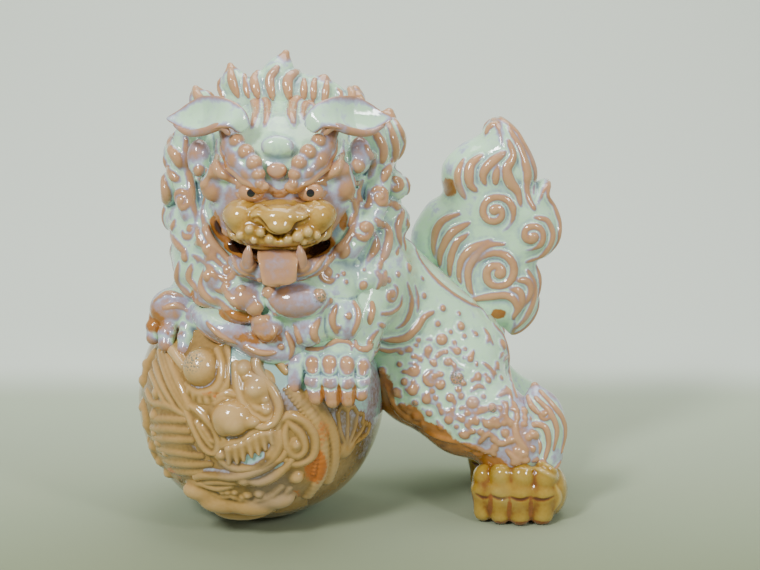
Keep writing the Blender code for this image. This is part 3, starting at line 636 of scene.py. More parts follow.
# the head, with its mane and beard: skull and cheeks first, then locks, curls and knobs
headPlan = {
    "step": 1.42,
    "blend": 12,
    "sink": 0.24,
    "ropeBlend": 1.0,
    "masses": [
        ("egg", (-51, 4, 254), (88, 58, 83)), ("egg", (-50, -40, 262), (58, 48, 61)),
        ("egg", (-50, -46, 196), (64, 42, 38)), ("egg", (12, -14, 206), (27, 38, 50)),
        ("egg", (-104, -24, 214), (32, 38, 40)), ("egg", (-26, -66, 176), (26, 24, 24)),
    ],
    "lobeBlend": 4.5,
    "lobes": [
        # chest, beard and cheeks
        ("egg", (-38, -88, 190), (23, 14, 13)), ("egg", (7, -52, 201), (18, 14, 14)),
        ("egg", (-30, -84, 168), (11, 12, 13)), ("egg", (-5, -72, 173), (14, 14, 18)),
        ("egg", (12, -56, 172), (7, 12, 16)), ("egg", (-60, -86, 170), (12, 11, 9)),
        ("egg", (-102, -58, 190), (14, 14, 14)), ("egg", (-82, -72, 176), (15, 12, 9)),
        ("egg", (-120, -40, 204), (12, 14, 14)), ("egg", (-96, -66, 202), (12, 13, 12)),
        ("egg", (-75, -84, 192), (14, 12, 10)), ("egg", (-120, -34, 186), (10, 14, 12)),
        ("egg", (-99, -67, 270), (9, 9, 11)), ("egg", (-4, -69, 271), (9, 9, 11)),
        ("egg", (-51, -82, 301), (12, 6, 8)), ("egg", (-51, -89, 285), (7.5, 4, 6.0)),
        ("egg", (-92, -72, 282), (12, 9, 7)), ("egg", (-10, -72, 283), (12, 9, 7)),
        ("egg", (-110, -54, 289), (9, 9, 14)), ("egg", (7, -54, 291), (9, 9, 14)),
        # locks that stand out at the sides
        ("egg", (32, -14, 262), (11, 16, 11)), ("egg", (34, -12, 238), (10, 16, 11)),
        ("egg", (28, -10, 298), (10, 20, 17)), ("egg", (-132, -14, 288), (10, 16, 12)),
        ("egg", (-136, -12, 262), (9, 16, 12)), ("egg", (-133, -14, 238), (9, 15, 12)),
        ("egg", (-128, -12, 214), (9, 15, 12)),
        # swollen locks round the face
        ("limb", (-120, -30, 310), 9, (-126, -34, 286), 8),
        ("limb", (-126, -34, 274), 8, (-118, -44, 246), 8),
        ("limb", (-128, -30, 242), 9, (-116, -48, 222), 8),
        ("limb", (-106, -60, 232), 7, (-94, -68, 212), 7), ("limb", (16, -34, 312), 9, (20, -36, 288), 9),
        ("limb", (22, -36, 274), 9, (18, -44, 250), 9), ("limb", (14, -48, 244), 9, (-2, -62, 222), 9),
        ("limb", (26, -24, 244), 10, (26, -24, 214), 9), ("limb", (30, -18, 214), 9, (26, -22, 190), 9),
    ],
    "ropes": [
        (5.1, [(-88, 327), (-80, 331), (-72, 328), (-69, 320), (-70, 312)]),
        (4.2, [(-74, 333), (-64, 328), (-60, 320), (-61, 313)]),
        (5.1, [(-26, 329), (-36, 330), (-43, 325), (-40, 313)]),
        (4.2, [(-26, 322), (-31, 326), (-35, 323), (-34, 317)]),
        (5.3, [(-135, 305), (-133, 294), (-128, 288), (-125, 279)]),
        (4.9, [(-140, 285), (-135, 277), (-127, 271)]),
        (5.1, [(-142, 272), (-139, 256), (-143, 245), (-141, 228)]),
        (3.9, [(-121, 301), (-122, 284), (-118, 268), (-116, 253), (-109, 240)]),
        (3.7, [(-119, 296), (-121, 285), (-115, 273), (-106, 272), (-100, 280)]),
        (4.4, [(-131, 240), (-134, 230), (-128, 224), (-120, 219)]),
        (3.5, [(-114, 226), (-111, 228), (-106, 230)]),
        (5.8, [(26, 313), (31, 299), (32, 288), (27, 279), (24, 271)]),
        (4.6, [(18, 307), (24, 295), (23, 283)]), (5.6, [(33, 313), (38, 299), (37, 288), (33, 278)]),
        (3.9, [(12, 298), (17, 285), (13, 272), (4, 271)]),
        (4.2, [(1, 263), (3, 251), (-2, 243), (-9, 239)]), (4.6, [(26, 254), (38, 247)]),
        (5.3, [(39, 245), (34, 233), (37, 218)]), (4.2, [(42, 238), (43, 224), (39, 209)]),
        (5.6, [(19, 243), (27, 232), (26, 220), (20, 206)]), (4.4, [(17, 234), (18, 222), (11, 211)]),
        (4.2, [(9, 272), (5, 263), (9, 253), (14, 256), (13, 267)]),
        (4.9, [(35, 218), (30, 204), (34, 189)]), (4.9, [(26, 209), (24, 196), (28, 180)]),
        (4.2, [(-127, 211), (-129, 197), (-120, 187), (-108, 182)]),
        (3.9, [(-117, 210), (-119, 200), (-112, 193)]),
        (4.2, [(-98, 189), (-85, 179), (-73, 176), (-60, 178), (-51, 183)]),
        (3.7, [(-66, 167), (-59, 163), (-53, 170)]),
        (3.9, [(-106, 210), (-109, 197), (-104, 189), (-94, 183)]),
        (3.2, [(-99, 300), (-96, 289), (-92, 281), (-83, 276), (-76, 274)]),
        (3.2, [(-5, 301), (-6, 290), (-11, 282), (-19, 277), (-25, 275)]),
        (3.0, [(-114, 254), (-113, 240), (-107, 227), (-97, 217), (-88, 210)]),
        (3.0, [(8, 256), (4, 242), (-2, 230)]), (3.5, [(-116, 218), (-104, 213), (-97, 205)]),
        (3.0, [(-88, 231), (-93, 239)]), (3.0, [(-99, 212), (-108, 216), (-113, 212)]),
        (3.7, [(14, 188), (16, 178), (12, 164)]), (3.5, [(-10, 186), (-13, 176), (-9, 164)]),
        (3.5, [(2, 188), (6, 178), (2, 163)]), (3.5, [(-22, 178), (-26, 168), (-22, 158)]),
        (3.2, [(-40, 172), (-36, 162), (-40, 156)]), (3.2, [(-134, 222), (-137, 208), (-133, 194)]),
        (3.2, [(-80, 187), (-88, 194), (-98, 196)]), (3.0, [(-90, 168), (-78, 164), (-68, 166)]),
        (3.5, [(18, 206), (22, 200), (18, 190)]),
    ],
    "curls": [
        ((-124, 256), 11, 3.6, 1.3, 250, -1), ((22, 259), 9.5, 3.4, 1.25, 200, -1),
        ((-103, 224), 8.5, 3.8, 0.9, 200, 1), ((-117, 236), 8.5, 3.6, 0.9, 190, 1),
        ((-7, 225), 9.5, 4.0, 0.9, 170, 1), ((11, 238), 9.5, 4.0, 0.9, 170, 1),
        ((-88, 210), 8.5, 3.4, 0.95, 190, 1), ((-17, 209), 8.0, 3.4, 0.95, -20, -1),
        ((34, 268), 9.5, 3.6, 0.95, 140, 1),
    ],
    "bumps": [
        ((-109, 281), 5.0), ((5, 284), 6.0), ((9, 197), 4.6), ((5, 213), 2.4), ((10, 208), 2.2),
        ((-5, 207), 2.6), ((-3, 201), 2.2), ((-9, 206), 2.0), ((-58, 197), 6.2), ((-68, 185), 7.2),
        ((-21, 196), 5.4), ((-89, 198), 5.4), ((-104, 206), 4.4), ((-122, 216), 4.4), ((-78, 200), 3.4),
        ((-14, 190), 2.6), ((-48, 205), 3.0), ((-112, 180), 3.0), ((-1, 178), 2.6), ((-8, 170), 2.2),
    ],
    "grooves": [
        (1.3, [(-105, 310), (-101, 296), (-102, 284), (-108, 270), (-112, 256)]),
        (1.3, [(0, 312), (-1, 298), (1, 284), (5, 268), (8, 254)]),
        (1.2, [(-62, 196), (-56, 186), (-44, 178), (-30, 179), (-20, 186), (-14, 194)]),
        (1.2, [(-14, 192), (-4, 190), (10, 188), (20, 192)]), (1.2, [(-17, 184), (-18, 172), (-16, 160)]),
        (1.2, [(6, 186), (8, 172), (5, 160)]), (1.2, [(-100, 178), (-84, 168), (-64, 160), (-48, 160)]),
        (1.2, [(-106, 262), (-108, 250), (-106, 238), (-100, 228)]),
        (1.2, [(4, 262), (5, 250), (2, 238), (-6, 230)]),
    ],
    "cuts": [
        ("egg", (-51, -84, 227), (32, 30, 8)), ("egg", (-51, -70, 229), (38, 26, 13)),
        ("egg", (-69, -95, 269), (10, 9, 6.5)), ("egg", (-28, -95, 269), (10, 9, 6.5)),
    ],
    "slits": [
        (5.0, [(-102, 251), (-99, 241), (-92, 231), (-83, 224), (-72, 221), (-62, 222)], (0.3, 1)),
        (5.0, [(-1, 252), (-5, 242), (-12, 232), (-21, 225), (-32, 222), (-42, 223)], (0.3, 1)),
    ],
    "slitDepths": (0.0, 2.5, 5.0, 7.5),
    "trim": [
        (2.6, [(-63, -95, 273), (-56, -97, 269), (-50, -98, 267.5), (-44, -97, 269), (-37, -95, 273)]),
        (3.4, [(-106, 260), (-108, 247), (-103, 233), (-94, 222), (-84, 213), (-74, 209)], (0.6, 0.7)),
        (3.4, [(4, 260), (5, 247), (0, 234), (-9, 223), (-19, 214), (-30, 209)], (0.6, 0.7)),
        (2.2, [(-82, -84, 267), (-76, -90, 262.5), (-67, -93, 261.5), (-59, -93, 264)]),
        (2.2, [(-15, -84, 268), (-21, -90, 263), (-30, -93, 261.5), (-38, -93, 264)]),
        (2.2, [(-82, -84, 272), (-77, -89, 275.5), (-68, -93, 275), (-60, -94, 270)]),
        (2.2, [(-15, -84, 273), (-20, -89, 276), (-29, -93, 275), (-37, -94, 270)]),
    ],
    "bare": [
        ((-51, -86, 264), (92, 52, 46), 1.05), ((-51, -70, 236), (70, 60, 30), 0.4),
        ((-66, -80, 188), (80, 60, 38), 0.85), ((-96, -72, 288), (16, 22, 14), 0.4),
        ((-6, -72, 288), (16, 22, 14), 0.4), ((-99, -66, 271), (14, 18, 17), 0.3),
        ((-4, -68, 271), (14, 18, 17), 0.3), ((-50, -84, 318), (46, 44, 34), -0.3),
        ((-50, -90, 296), (22, 20, 20), -0.8), ((-109, -50, 290), (13, 20, 15), 0.6),
        ((6, -50, 291), (13, 20, 15), 0.6), ((-51, -92, 285), (7, 9, 6.5), 1.9),
        ((-84, -60, 170), (44, 40, 22), 0.8), ((8, -60, 206), (22, 26, 16), -0.35),
        ((-38, -98, 190), (26, 12, 12), -0.15), ((0, -74, 172), (20, 20, 20), 0.3),
        ((-112, -50, 200), (22, 30, 20), 0.35), ((-124, -40, 236), (20, 30, 24), 0.25),
    ],
    "warm": [
        ((-112, -50, 186), (12, 22, 9), 0.95), ((-84, -78, 177), (26, 26, 8), 0.8),
        # the spots of strength 2.6 paint dark shade deep inside the mouth and at its corners
        ((-54, -88, 163), (28, 26, 8), 0.7), ((-51, -62, 228), (48, 30, 20), 2.6),
        ((-95, -52, 237), (14, 11, 18), 2.6), ((-83, -56, 222), (14, 13, 12), 2.6),
        ((-7, -52, 237), (14, 11, 18), 2.6), ((-19, -56, 222), (14, 13, 12), 2.6),
        ((-50, -97, 269), (22, 12, 4), 0.9), ((-97, -64, 244), (5, 10, 12), 0.8),
        ((-5, -64, 245), (5, 10, 12), 0.8), ((-118, -48, 204), (8, 16, 6), 0.6),
    ],
}
headPlan["stipple"] = [
    ((-58, -86, 197), 6.5), ((-68, -86, 185), 7.5), ((-21, -96, 195), 6), ((-89, -70, 197), 6),
]


def scatter(corners, count, radius, seed):
    # seeded knobs of uneven size inside a plan rectangle
    rng = np.random.default_rng(seed)
    (x0, z0), (x1, z1) = corners
    columns = rng.uniform(x0, x1, count), rng.uniform(z0, z1, count), rng.uniform(*radius, count)
    return [((x, z), r) for x, z, r in zip(*columns)]


def dabs(corners, count, radius, seed):
    # short dabs of clay, thrown at random over a plan rectangle, most of them leaning one way
    rng = np.random.default_rng(seed)
    places = rng.uniform(*corners, (count, 2))
    turn = rng.uniform(-0.3, 1.5, count)
    reach = np.stack([np.cos(turn), -np.sin(turn)], 1) * rng.uniform(1.2, 3.6, (count, 1))
    bend = reach[:, ::-1] * [-0.4, 0.4]
    lines = np.stack([places - reach, places + bend, places + reach], 1)
    return [(r, [tuple(point) for point in line]) for r, line in zip(rng.uniform(*radius, count), lines)]


def maneRows():
    # the back of the mane: half rings of curls, each with a strand that leaves it; each row has its
    # height, its share of the widest ring, and its number of curls
    rows = []
    rings = [(318, 0.66, 7), (292, 0.88, 9), (264, 1.0, 10), (235, 0.97, 10), (206, 0.84, 8)]
    for row, (z, ring, count) in enumerate(rings):
        for k in range(count):
            # equal steps round the back of an oval, from 10 degrees before its side, every second row
            # half a step on; the curls of the two sides turn opposite ways
            turn = math.radians(-10 + 200 * (k + 0.5 * (row % 2)) / count)
            centre = (faceX + 98 * ring * math.cos(turn), 2 + 66 * ring * math.sin(turn), z)
            hand = 1 if centre[0] > faceX else -1
            rows.append((centre, 11, 3.2, 1.3, 60 if hand > 0 else 120, -hand, 12))
    return rows


headPlan["curls"] += maneRows()
cast(
    "headCasting", headPlan, mintGlaze, "mint_glaze",
    "head", "cheek_left", "cheek_right", "temple_lobe_left", "temple_lobe_right",
    "mane_lock_left_upper", "mane_lock_left_lower", "mane_lock_right_upper", "mane_lock_right_lower",
    "mane_curl_left", "mane_curl_right",
    "beard_curl_left_1", "beard_curl_left_2", "beard_curl_right_1", "beard_curl_right_2",
)

# the row of flame locks on top of the head
crestPlan = {
    "step": 0.95,
    "blend": 5,
    "masses": [
        ("egg", (-50, -2, 330), (46, 20, 18)), ("limb", (-52, -6, 334), 15, (-54, -6, 348), 11),
        ("limb", (-54, -6, 348), 11, (-49, -4, 362), 3), ("limb", (-84, -8, 326), 13, (-88, -8, 341), 9),
        ("limb", (-88, -8, 341), 9, (-91, -5, 353), 2.5), ("limb", (-110, -4, 316), 12, (-115, -4, 328), 7),
        ("limb", (-115, -4, 328), 7, (-118, -2, 336), 2.2), ("limb", (-22, -8, 326), 12, (-22, -8, 336), 7),
        ("limb", (-22, -8, 336), 7, (-20, -6, 344), 2.5), ("limb", (-2, -6, 316), 13, (2, -6, 328), 8),
        ("limb", (2, -6, 328), 8, (3, -4, 335), 3), ("limb", (20, -2, 300), 13, (27, -2, 312), 7),
        ("limb", (27, -2, 312), 7, (29, 0, 318), 2.5), ("limb", (-70, -10, 330), 12, (-66, -10, 342), 7),
    ],
    "sink": 0.0,
    "ropes": [
        (3.6, [(-100, 343), (-98, 337), (-94, 328)]), (3.8, [(-90, 350), (-88, 341), (-84, 331)]),
        (3.6, [(-80, 346), (-79, 341), (-76, 331)]), (4.2, [(-70, 348), (-72, 342), (-69, 331)]),
        (4.4, [(-55, 352), (-60, 343), (-58, 330)]), (4.6, [(-40, 349), (-47, 343), (-46, 330)]),
        (3.4, [(-35, 343), (-35, 338), (-35, 329)]), (3.4, [(-27, 343), (-28, 337), (-28, 328)]),
        (3.4, [(-18, 341), (-19, 335), (-20, 326)]), (3.6, [(-10, 335), (-7, 329), (-8, 320)]),
        (3.6, [(-2, 337), (1, 331), (-1, 320)]), (3.6, [(5, 333), (8, 325), (8, 316)]),
        (3.8, [(-118, 335), (-114, 329), (-108, 321)]), (3.2, [(-108, 334), (-104, 328), (-101, 322)]),
        (3.4, [(26, 316), (24, 308), (18, 298)]), (3.0, [(17, 318), (16, 310), (12, 304)]),
    ],
}
crestTips = [(-49, 362), (-91, 353), (-118, 336), (-20, 344), (4, 335), (29, 318)]
crestPlan["bare"] = [((x, -4, z), (9, 16, 9), 1.3) for x, z in crestTips]
cast(
    "crestLocks", crestPlan, mintGlaze, "mint_glaze",
    "crest_lock_centre", "crest_lock_left", "crest_lock_left_low", "crest_lock_left_side",
    "crest_lock_right", "crest_lock_right_low",
)

# brows: a thick pad with three knobs over the nose and a sharp lower ridge
browPlan = {
    "step": 0.75,
    "blend": 2,
    "masses": [
        ("limb", (-88, -64, 310), 6.5, (-84, -72, 300), 7.5),
        ("limb", (-84, -72, 300), 7.5, (-79, -81, 291), 7.5),
        ("limb", (-79, -81, 291), 7.5, (-71, -88, 283), 6),
        ("limb", (-71, -88, 283), 6, (-63, -93, 276), 3.6), ("egg", (-80, -78, 304), (6.0, 7, 6.0)),
        ("egg", (-73, -85, 297), (6.4, 8, 6.4)), ("egg", (-67, -90, 290), (6.2, 8, 6.2)),
        ("egg", (-64, -93, 282.5), (5.2, 6.5, 5.2)), ("egg", (-63, -94.5, 276), (4.0, 5, 4.0)),
    ],
    "ropes": [
        (3.4, [
            (-93, -62, 304), (-91, -72, 293), (-83, -83, 282), (-70, -92, 273.5), (-60, -96, 270),
            (-50, -97, 268),
        ], (0.5, 1.0)),
    ],
    "sink": 0.0,
    "lift": 0.85,
    "warm": [((-72, -94, 271), (26, 14, 5), 0.8), ((-89, -76, 287), (6, 12, 14), 0.6)],
}
cast("browLeft", browPlan, mintGlaze, "mint_glaze", "brow_left", mirror=True)
cast("browRight", browPlan, mintGlaze, "mint_glaze", "brow_right")

# muzzle: nose, pads, whisker knobs and the gum with its upper teeth
muzzlePlan = {
    "step": 0.75,
    "blend": 4,
    "wide": 4,
    "masses": [
        ("egg", (-50, -80, 250), (36, 23, 13)), ("egg", (-77, -84, 252), (14, 17, 12)),
        ("egg", (-23, -84, 252), (14, 17, 12)), ("egg", (-66, -91, 242), (15, 14, 10)),
        ("egg", (-34, -91, 242), (15, 14, 10)), ("egg", (-50, -87, 258), (15, 12, 6)),
        ("egg", (-50, -88, 236), (25, 17, 6)), ("egg", (-80, -84, 241), (8, 11, 8)),
        ("egg", (-20, -84, 241), (8, 11, 8)),
    ],
    "lobes": [
        ("egg", (-49, -99, 253), (16, 12, 9)), ("egg", (-49, -104, 248), (10, 9, 6.5)),
        ("egg", (-63, -98, 254), (7, 8, 5.5)), ("egg", (-35, -98, 253), (7, 8, 5.5)),
    ],
    "lobeBlend": 2,
    "sink": 0.1,
    "ropes": [
        (2.4, [(-84, 240), (-76, 233), (-63, 231), (-50, 230), (-38, 231), (-26, 232), (-17, 240)]),
        (2.0, [(-71, 257), (-64, 260), (-57, 259)]), (2.0, [(-27, 257), (-34, 260), (-41, 259)]),
        (1.6, [(-78, 262), (-70, 264), (-60, 263)]), (1.6, [(-22, 262), (-30, 264), (-40, 263)]),
    ],
    "bumpSink": 0.05,
    "bumps": [
        ((-70, 245), 3.4), ((-62, 243), 3.4), ((-56, 238), 3.6), ((-43, 238), 3.6), ((-36, 240), 4.0),
        ((-29, 243), 3.6), ((-77, 240), 3.2), ((-23, 240), 3.2), ((-67, 237), 2.6), ((-32, 236), 2.6),
        ((-66, 229), 2.2), ((-61, 228), 2.3), ((-56, 227), 2.3), ((-50, 227), 2.3), ((-45, 227), 2.3),
        ((-40, 228), 2.3), ((-34, 229), 2.2),
    ],
    "grooves": [
        (1.5, [
            (-68, 252), (-64, 254), (-60, 250), (-55, 244.5), (-48, 242), (-41, 244), (-37, 249), (-32, 251),
            (-28, 253),
        ]),
        (1.0, [(-88, 246), (-82, 240), (-74, 236)]), (1.0, [(-12, 246), (-18, 240), (-26, 236)]),
        (0.9, [(-50, 241), (-50, 234)]),
    ],
    "warm": [
        ((-62, -100, 252), (5, 8, 3), 0.4), ((-36, -100, 251), (5, 8, 3), 0.4),
        ((-50, -96, 229), (30, 20, 3), 0.3),
    ],
}
cast("muzzleCasting", muzzlePlan, ochreGlaze, "ochre_glaze", "muzzle")

# lower jaw: two gum pads that hold the fangs, and a lip between them
jawPlan = {
    "step": 0.8,
    "blend": 3,
    "masses": [
        ("limb", (-84, -82, 219), 4, (-78, -90, 216), 5), ("limb", (-18, -82, 219), 4, (-26, -90, 216), 5),
        ("limb", (-78, -90, 216), 5, (-52, -95, 208), 5), ("limb", (-52, -95, 208), 5, (-26, -90, 216), 5),
        ("egg", (-72, -95, 217), (7, 7, 6)), ("egg", (-34, -95, 217), (7, 7, 6)),
        ("egg", (-51, -86, 212), (24, 12, 8)),
    ],
    "sink": 0.1,
    "ropes": [
        (2.4, [(-92, 221), (-82, 212), (-70, 206), (-60, 204), (-50, 203)]),
        (2.4, [(-12, 222), (-22, 212), (-34, 206), (-46, 203)]),
        (1.8, [(-84, 222), (-78, 214), (-68, 210)]), (1.8, [(-18, 222), (-26, 214), (-36, 210)]),
    ],
    "bumps": [((-76, 210), 2.6), ((-64, 207), 2.4), ((-28, 209), 2.6), ((-40, 207), 2.2)],
    "bare": [((-52, -94, 214), (60, 30, 20), 0.85)],
}
cast("jawCasting", jawPlan, mintGlaze, "mint_glaze", "lower_jaw")

# the apron under the beard, where the chest leans on the ball
apronPlan = {
    "step": 1.1,
    "blend": 6,
    "masses": [
        ("egg", (-84, -48, 164), (38, 40, 15), (0, 17, 0)),
        ("egg", (-62, -62, 152), (30, 29, 13), (0, 17, 0)), ("egg", (-50, -66, 160), (30, 22, 18)),
    ],
    "sink": 0.1,
    "ropes": [
        (2.6, [
            (-112, 166), (-100, 158), (-90, 152), (-78, 146), (-66, 142), (-54, 140), (-44, 142),
        ], (0.7, 0.9)),
        (2.4, [(-104, 172), (-94, 164), (-82, 158)]), (2.2, [(-76, 156), (-64, 152), (-54, 152)]),
        (2.4, [(-46, 166), (-42, 156), (-44, 146)]),
    ],
    "bumps": [((-50, 156), 2.6), ((-60, 162), 2.8)],
    "bare": [((-74, -70, 158), (60, 50, 20), 0.85)],
    "warm": [((-66, -80, 162), (30, 26, 7), 0.75), ((-100, -56, 168), (16, 26, 7), 0.5)],
}
cast("chestApron", apronPlan, mintGlaze, "mint_glaze")

# body: ribs and belly run into the near hind leg; strands, rings and knobs lie over both
torsoPlan = {
    "step": 1.3,
    "blend": 12,
    "masses": [
        ("egg", (-44, 8, 208), (58, 46, 48)), ("egg", (2, -6, 188), (44, 46, 44)),
        ("limb", (4, 10, 186), 49, (80, 28, 120), 45), ("egg", (66, 0, 108), (52, 34, 43)),
        ("egg", (95, -8, 80), (42, 32, 34)), ("egg", (126, -8, 58), (29, 30, 34)),
        ("limb", (10, -26, 196), 33, (-3, -54, 156), 24),
    ],
    "sink": 0.2,
    "bumpSink": 0.4,
    "ropes": [
        (2.6, [(44, 224), (52, 204), (64, 189), (77, 177), (91, 167), (102, 160), (108, 152)]),
        (3.0, [(23, 174), (30, 173), (36, 176), (38, 184)]),
        (3.4, [(42, 192), (45, 178), (44, 168), (40, 160), (34, 156)]),
        (2.6, [(48, 188), (50, 177), (50, 166)]), (2.6, [(20, 167), (26, 163)]),
        (4.4, [(62, 166), (55, 163), (49, 155), (40, 148), (28, 147), (20, 150)]),
        (3.6, [(20, 162), (14, 156), (13, 149), (17, 143), (28, 137), (41, 140)]),
        (3.0, [(72, 136), (68, 135), (64, 131)], (1, 0.6)), (2.6, [(94, 135), (90, 129)]),
        (2.8, [(101, 126), (107, 120), (110, 112)]), (2.6, [(103, 148), (108, 141)]),
        (2.8, [(92, 106), (97, 110), (103, 107)]), (2.8, [(112, 101), (121, 103), (124, 97)]),
        (2.8, [(99, 88), (104, 82), (111, 83), (114, 88)]), (3.0, [(120, 96), (118, 88), (122, 80)]),
        (2.8, [(108, 72), (114, 66), (122, 68)]), (2.6, [(98, 66), (104, 74), (110, 72)]),
        (2.6, [(128, 86), (126, 76), (130, 66), (136, 60)]), (2.8, [(120, 60), (127, 54), (136, 52)]),
        (3.2, [(112, 148), (119, 138), (123, 124), (124, 110), (128, 98)]),
        (2.6, [(60, 122), (56, 117), (60, 112), (66, 114)]), (2.6, [(128, 118), (132, 112), (130, 104)]),
        (3.0, [(86, 66), (96, 62), (104, 58)]), (2.6, [(30, 96), (38, 84), (48, 76)]),
        (2.8, [(26, 108), (34, 92), (44, 82), (56, 74)]), (2.6, [(58, 70), (70, 68), (82, 66)]),
    ],
    "curls": [
        ((30, 187), 8.0, 3.0, 1.3, 100, -1), ((82, 117), 7.5, 2.6, 1.2, 30, 1),
        ((47, 122), 6.5, 2.4, 1.2, 140, -1), ((63, 118), 5.6, 2.3, 1.0, 60, 1),
    ],
    "bumps": [
        ((43, 203), 3.6), ((54, 191), 2.0), ((55, 179), 2.6), ((70, 168), 2.6), ((83, 162), 2.0),
        ((28, 198), 2.4), ((35, 201), 2.2), ((84, 153), 3.6), ((69, 145), 4.4), ((76, 150), 2.0),
        ((87, 146), 2.0), ((79, 142), 2.2), ((118, 133), 4.4), ((59, 138), 3.4), ((45, 138), 2.4),
        ((38, 136), 2.4), ((81, 136), 3.2), ((87, 137), 2.0), ((74, 129), 3.4), ((37, 126), 2.2),
        ((24, 119), 3.4), ((97, 117), 3.0), ((105, 113), 3.0), ((41, 113), 2.8), ((47, 107), 4.0),
        ((35, 104), 3.6), ((82, 108), 2.6), ((68, 112), 3.4), ((58, 100), 3.6), ((49, 97), 2.6),
        ((76, 102), 3.2), ((84, 103), 2.6), ((91, 130), 3.0), ((93, 98), 4.6), ((108, 94), 3.4),
        ((78, 93), 2.2), ((75, 85), 3.6), ((85, 86), 3.0), ((81, 80), 2.4), ((87, 74), 3.6),
        ((60, 89), 3.0), ((50, 84), 3.2), ((40, 91), 2.0), ((67, 96), 2.4), ((69, 78), 2.6),
        ((62, 107), 2.2), ((53, 131), 2.2), ((66, 157), 2.4), ((96, 146), 2.4), ((113, 122), 2.6),
        ((124, 142), 2.4), ((116, 112), 2.4), ((99, 76), 2.4), ((118, 74), 2.6), ((128, 60), 2.6),
        ((109, 60), 2.4), ((137, 70), 2.4), ((134, 88), 2.8), ((90, 90), 2.4), ((101, 102), 2.2),
        ((45, 92), 1.8), ((55, 78), 2.0),
    ],
    "stipple": [
        ((43, -22, 203), 4.4), ((69, -34, 145), 5.4), ((118, -14, 133), 5.4), ((59, -38, 138), 4.4),
        ((74, -36, 129), 4.4), ((82, -36, 117), 8), ((84, -24, 153), 4.4), ((108, -38, 94), 4.2),
        ((49, -34, 97), 3.4),
    ],
    "bare": [
        ((112, -36, 62), (34, 34, 30), 1.0), ((52, -36, 122), (24, 30, 20), 0.3),
        ((134, -20, 78), (26, 34, 46), 0.9), ((78, -40, 104), (40, 30, 30), 0.2),
    ],
    "warm": [
        ((22, -20, 100), (15, 50, 26), 1.2), ((42, -24, 82), (19, 50, 18), 1.2),
        ((62, -20, 68), (24, 50, 17), 1.2), ((84, -16, 57), (26, 50, 16), 1.15),
        ((106, -20, 46), (24, 50, 14), 1.0), ((20, 20, 110), (40, 40, 40), 0.6),
        ((60, 10, 66), (50, 40, 16), 1.0), ((132, 0, 26), (36, 40, 16), 1.0),
    ],
}
torsoPlan["bumps"] = [(place, radius * 1.4) for place, radius in torsoPlan["bumps"]]
torsoPlan["bumps"] += scatter(((34, 78), (128, 150)), 30, (1.4, 2.8), 7)
torsoPlan["ropes"] += dabs(((36, 80), (126, 146)), 60, (1.8, 3.0), 11)
torsoPlan["ropes"] += dabs(((84, 46), (146, 96)), 44, (2.0, 3.2), 12)
cast("torsoCasting", torsoPlan, mintGlaze, "mint_glaze", "torso", "hind_leg_left", "front_leg_left")

farHindPlan = {
    "step": 1.5,
    "blend": 10,
    "masses": [
        ("egg", (68, 60, 108), (52, 34, 43)), ("egg", (97, 68, 80), (42, 32, 34)),
        ("egg", (134, 68, 56), (33, 30, 34)),
    ],
    "heading": (0, -1, 0),
    "ropes": [
        (3.2, [(60, 140), (72, 128), (88, 122), (104, 116)]), (3.0, [(60, 92), (74, 80), (92, 74)]),
        (3.0, [(112, 96), (120, 84), (122, 70)]),
    ],
    "warm": [((70, 60, 60), (60, 50, 14), 1.0), ((134, 68, 26), (36, 40, 16), 1.0)],
    "bare": [((130, 68, 60), (34, 50, 34), 0.5)],
}
farKnobs = [
    (50, 120, 4), (64, 112, 3), (78, 104, 5), (92, 98, 3.4), (56, 98, 3), (70, 90, 4), (86, 84, 3),
    (100, 80, 4), (44, 104, 3), (112, 70, 3), (124, 58, 3.4), (98, 112, 3), (84, 120, 3.4), (70, 128, 4),
    (136, 66, 3), (104, 62, 3), (118, 50, 3),
]
farHindPlan["bumps"] = [((x, 96 - 0.1 * abs(x - 80), z), r) for x, z, r in farKnobs]
cast("hindLegFar", farHindPlan, mintGlaze, "mint_glaze", "hind_leg_right")

farForePlan = {
    "step": 1.1,
    "blend": 8,
    "masses": [("limb", (-96, 0, 202), 30, (-122, -20, 174), 21)],
    "ropes": [
        (3.0, [(-128, 196), (-122, 190), (-112, 186)]), (3.0, [(-132, 188), (-130, 180), (-122, 176)]),
        (2.8, [(-112, 180), (-104, 172)]),
    ],
    "bumps": [((-116, 178), 3.4), ((-124, 186), 2.6)],
    "bare": [((-120, -30, 180), (30, 30, 24), 0.4)],
}
cast("foreLegFar", farForePlan, mintGlaze, "mint_glaze", "front_leg_right")


# paws: a palm, and for each toe a knuckle, a second joint and a claw
def pawPlan(palm, toes, plan):
    # toes: (knuckle, joint, tip, size)
    masses = list(palm)
    for knuckle, joint, tip, size in toes:
        masses.append(("egg", knuckle, (size * 1.04, size, size)))
        masses.append(("limb", knuckle, size * 0.88, joint, size * 0.88))
        masses.append(("egg", joint, (size, size * 0.98, size * 0.7)))
        masses.append(("limb", joint, size * 0.9, tip, size * plan.get("tip", 0.78)))
    return {"step": 0.85, "blend": 1.6, "masses": masses} | plan


